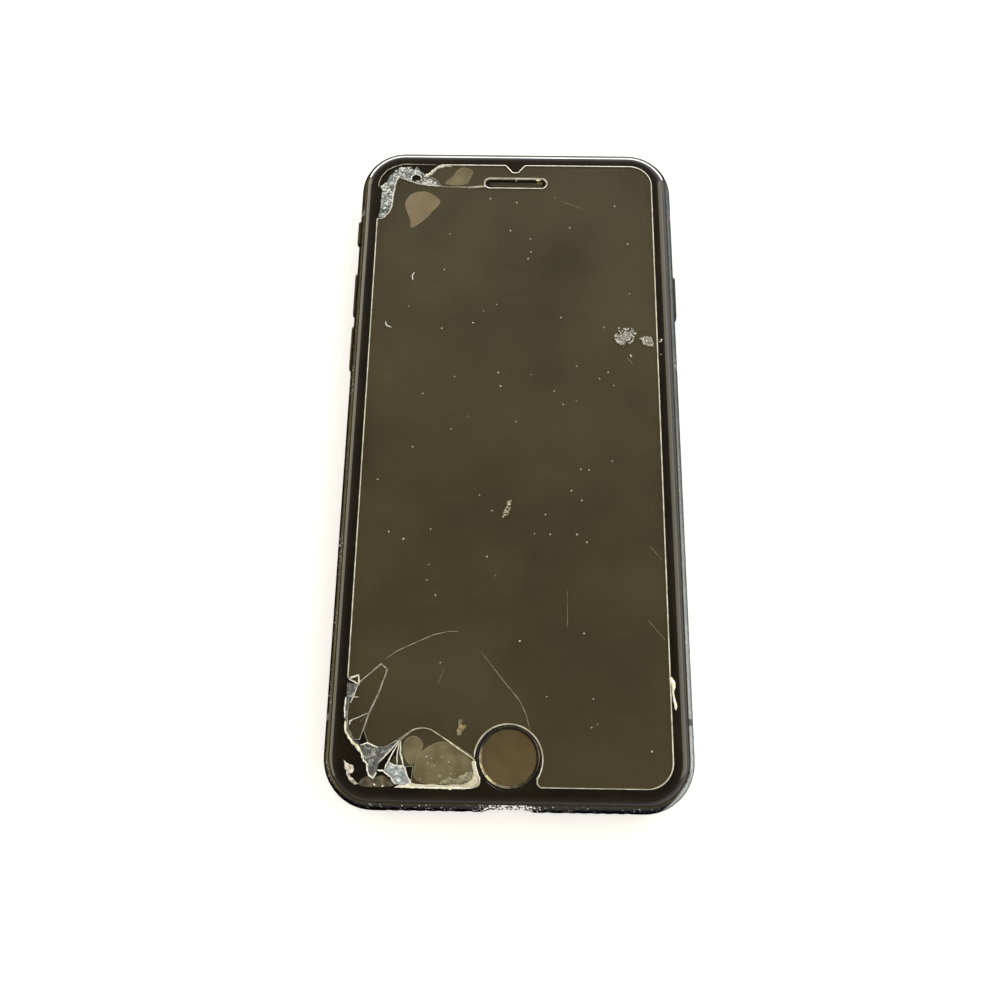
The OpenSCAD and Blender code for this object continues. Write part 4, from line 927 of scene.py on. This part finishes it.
# ---- Lifted glue ----
# Near the corners the glue has let go and air has got under the protector. Each pocket is a thin
# film between the protector and the cover glass, painted flat grey with a paler rim as a painted
# reflection of the air gap's glass faces.
reflection_brown = frosted("air_gap_reflection_brown_grey", "#958573", "#a89881", 0.5, 3.0)
reflection_grey = frosted("air_gap_reflection_grey", "#79745c", "#a19b80", 0.5, 3.4)
reflection_rim = frosted("air_pocket_rim_reflection", "#a09a7e", "#b6af93", 0.5, 1.0)
smear = frosted("glue_smear_dark", "#3f382d", "#6d6454", 0.5, 1.0)
for title, corner, shape, material in (
        ("lifted_glue_top", upper_left, (
            (13.8, -4.9), (15.1, -3.5), (16.2, -2.6), (16.5, -1.5), (17.8, -0.4), (19.0, -0.7),
            (20.4, -1.4), (19.8, -3.0), (18.8, -5.2)), reflection_grey),
        ("lifted_glue_corner", upper_left, (
            (6.0, -8.8), (7.2, -7.2), (9.8, -6.6), (11.5, -7.3), (13.6, -9.0), (12.9, -10.5),
            (11.5, -11.8), (10.9, -13.1), (7.8, -15.9), (7.1, -15.6), (7.3, -14.4), (6.4, -12.0),
            (5.8, -10.5)), reflection_brown),
        ("lifted_glue_small", lower_left, (
            (10.6, 7.0), (11.4, 8.5), (13.1, 8.7), (14.4, 7.4), (14.0, 6.0), (13.0, 4.3),
            (12.3, 3.5), (11.3, 4.2), (10.8, 5.3)), reflection_grey),
        ("lifted_glue_large", lower_left, (
            (14.2, 6.4), (17.3, 7.9), (19.0, 7.5), (23.3, 4.5), (23.9, 2.8), (23.0, 0.9),
            (20.2, 0.4), (12.8, 0.4), (12.7, 3.9)), reflection_grey),
        ("glue_smear_bottom", lower_left, (
            (3.5, 1.1), (4.7, 1.7), (5.9, 1.3), (7.1, 1.9), (8.3, 1.3), (9.1, 0.5), (9.5, -0.1),
            (4.3, -0.3), (3.1, 0.1)), smear)):
    loop = [Vector((p.x, p.y, glass_top + 0.022)) for p in rounded(off(corner, *shape))]
    if sum(a.xy.cross(b.xy) for a, b in zip(loop, loop[1:] + loop[:1])) < 0:
        loop.reverse()
    points, faces, kinds = slab([loop], glass_top + 0.004, lambda p: 0.14, lambda p: 0.004)
    made = piece(title, points, faces, [material, smear if material == smear else reflection_rim], kinds)

# ---- Grit and dust ----
# Crumbs of glass, dried glue and dust lie on the protector and along its edges. Loose chips are
# scattered over small listed patches from a fixed seed.


def scattered_chips():
    """Small angular chips strewn over a surface."""
    tree = bpy.data.node_groups.new("scattered_chips", "GeometryNodeTree")
    face = tree.interface
    face.new_socket("Geometry", in_out="INPUT", socket_type="NodeSocketGeometry")
    for name in ("Density", "Smallest", "Largest"):
        face.new_socket(name, in_out="INPUT", socket_type="NodeSocketFloat")
    face.new_socket("Seed", in_out="INPUT", socket_type="NodeSocketInt")
    face.new_socket("Material", in_out="INPUT", socket_type="NodeSocketMaterial")
    face.new_socket("Geometry", in_out="OUTPUT", socket_type="NodeSocketGeometry")
    given = add(tree, "NodeGroupInput").outputs
    spread = add(tree, "GeometryNodeDistributePointsOnFaces", {
        "Mesh": given["Geometry"], "Density": given["Density"], "Seed": given["Seed"]})
    chip = add(tree, "GeometryNodeMeshIcoSphere", {"Radius": 1.0, "Subdivisions": 1})
    # Squeezed along one side, so that chips are splinters rather than balls.
    thin = add(tree, "GeometryNodeTransform", {
        "Geometry": chip.outputs[0], "Scale": (1, 0.6, 0.45)})
    size = add(tree, "FunctionNodeRandomValue", {
        2: given["Smallest"], 3: given["Largest"], "Seed": given["Seed"]}, data_type="FLOAT")
    turn = add(tree, "FunctionNodeRandomValue", {
        0: (-0.5, -0.5, 0.0), 1: (0.5, 0.5, 6.28), "Seed": given["Seed"]},
        data_type="FLOAT_VECTOR")
    strewn = add(tree, "GeometryNodeInstanceOnPoints", {
        "Points": spread.outputs["Points"], "Instance": thin.outputs[0],
        "Rotation": turn.outputs[0], "Scale": size.outputs[1]})
    real = add(tree, "GeometryNodeRealizeInstances", {0: strewn.outputs[0]})
    painted = add(tree, "GeometryNodeSetMaterial", {
        "Geometry": real.outputs[0], "Material": given["Material"]})
    add(tree, "NodeGroupOutput", {0: painted.outputs[0]})
    return tree


def bed(name, patches, height):
    """A mesh of flat patches, each a convex outline in millimetres."""
    mesh = bpy.data.meshes.new(name)
    points, faces = [], []
    for patch in patches:
        faces.append(tuple(range(len(points), len(points) + len(patch))))
        points += [Vector((p.x, p.y, height)) * MM for p in patch]
    mesh.from_pydata(points, [], faces)
    return mesh


grit = frosted("glass_grit_grey", "#8f8f86", "#dcdcd4", 0.5, 0.3)
flake = frosted("dried_flake_tan", "#8d8868", "#d8d3ba", 0.6, 0.3)
dust = frosted("dust_pale", "#d3d1c6", "#fbfaf4", 0.7, 0.4)
glue = frosted("dried_glue_white", "#d8cfc6", "#f7f3ee", 0.6, 0.6)
olive = frosted("oily_dirt_olive", "#5d5116", "#a89a45", 0.4, 0.3)
chips = scattered_chips()
for title, material, density, sizes, seed, height, patches in (
        ("grit_right_side", grit, 8.0, (0.08, 0.28), 4, pane_top + 0.02, (
            off(upper_right, (-8.9, -41.6), (-7.4, -43.2), (-5.2, -42.4), (-4.4, -40.4),
                (-6.0, -39.0), (-8.0, -39.2)),
            off(upper_right, (-4.0, -41.8), (-2.4, -43.2), (-0.9, -43.4), (-1.1, -41.2),
                (-2.4, -40.9)),
            off(upper_right, (-6.2, -45.2), (-5.4, -46.0), (-5.6, -45.0)))),
        ("grit_on_right_edge", glue, 9.0, (0.08, 0.24), 9, pane_top - 0.1, (
            off(upper_right, (-0.3, -42.2), (1.0, -42.3), (1.2, -41.6), (-0.2, -41.4)),
            off(upper_right, (0.2, -45.2), (0.7, -45.4), (0.6, -44.9)))),
        ("flake_in_the_middle", flake, 12.0, (0.1, 0.26), 6, pane_top, (
            off(middle, (-1.9, -15.6), (-1.2, -15.7), (-0.3, -13.6), (-0.1, -12.0), (-0.8, -12.1),
                (-1.5, -13.9)),)),
        ("dust_on_screen", dust, 0.011, (0.1, 0.2), 11, pane_top, (
            off(middle, (-27.0, -40.0), (28.0, -62.0), (28.0, 62.0), (-14.0, 57.0),
                (-27.0, 45.0)),)),
        ("dirt_in_slot", olive, 12.0, (0.12, 0.34), 16, mesh_high.z / MM + 0.1, (
            off(slot_centre, (4.2, 0.2), (5.4, 0.1), (5.6, 0.7), (4.4, 0.8)),)),
        ("dried_glue_corner", glue, 10.0, (0.1, 0.32), 12, glass_top, (
            off(lower_left, (5.6, 0.0), (6.1, 0.0), (6.2, 0.4), (5.9, 0.4)),
            off(lower_left, (7.1, -0.1), (7.4, -0.1), (7.3, 0.3)))),
        ("specks_on_lower_shard", glue, 0.5, (0.06, 0.15), 14, pane_top, (
            off(lower_left, (14.0, 4.8), (13.6, 1.0), (22.6, 1.4), (22.0, 4.6), (18.0, 6.6)),))):
    made = grow(title, chips, {
        "Density": density * 1e6, "Smallest": sizes[0] * MM, "Largest": sizes[1] * MM,
        "Seed": seed, "Material": material}, bed(title, patches, height))
    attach(made, "phone_body")
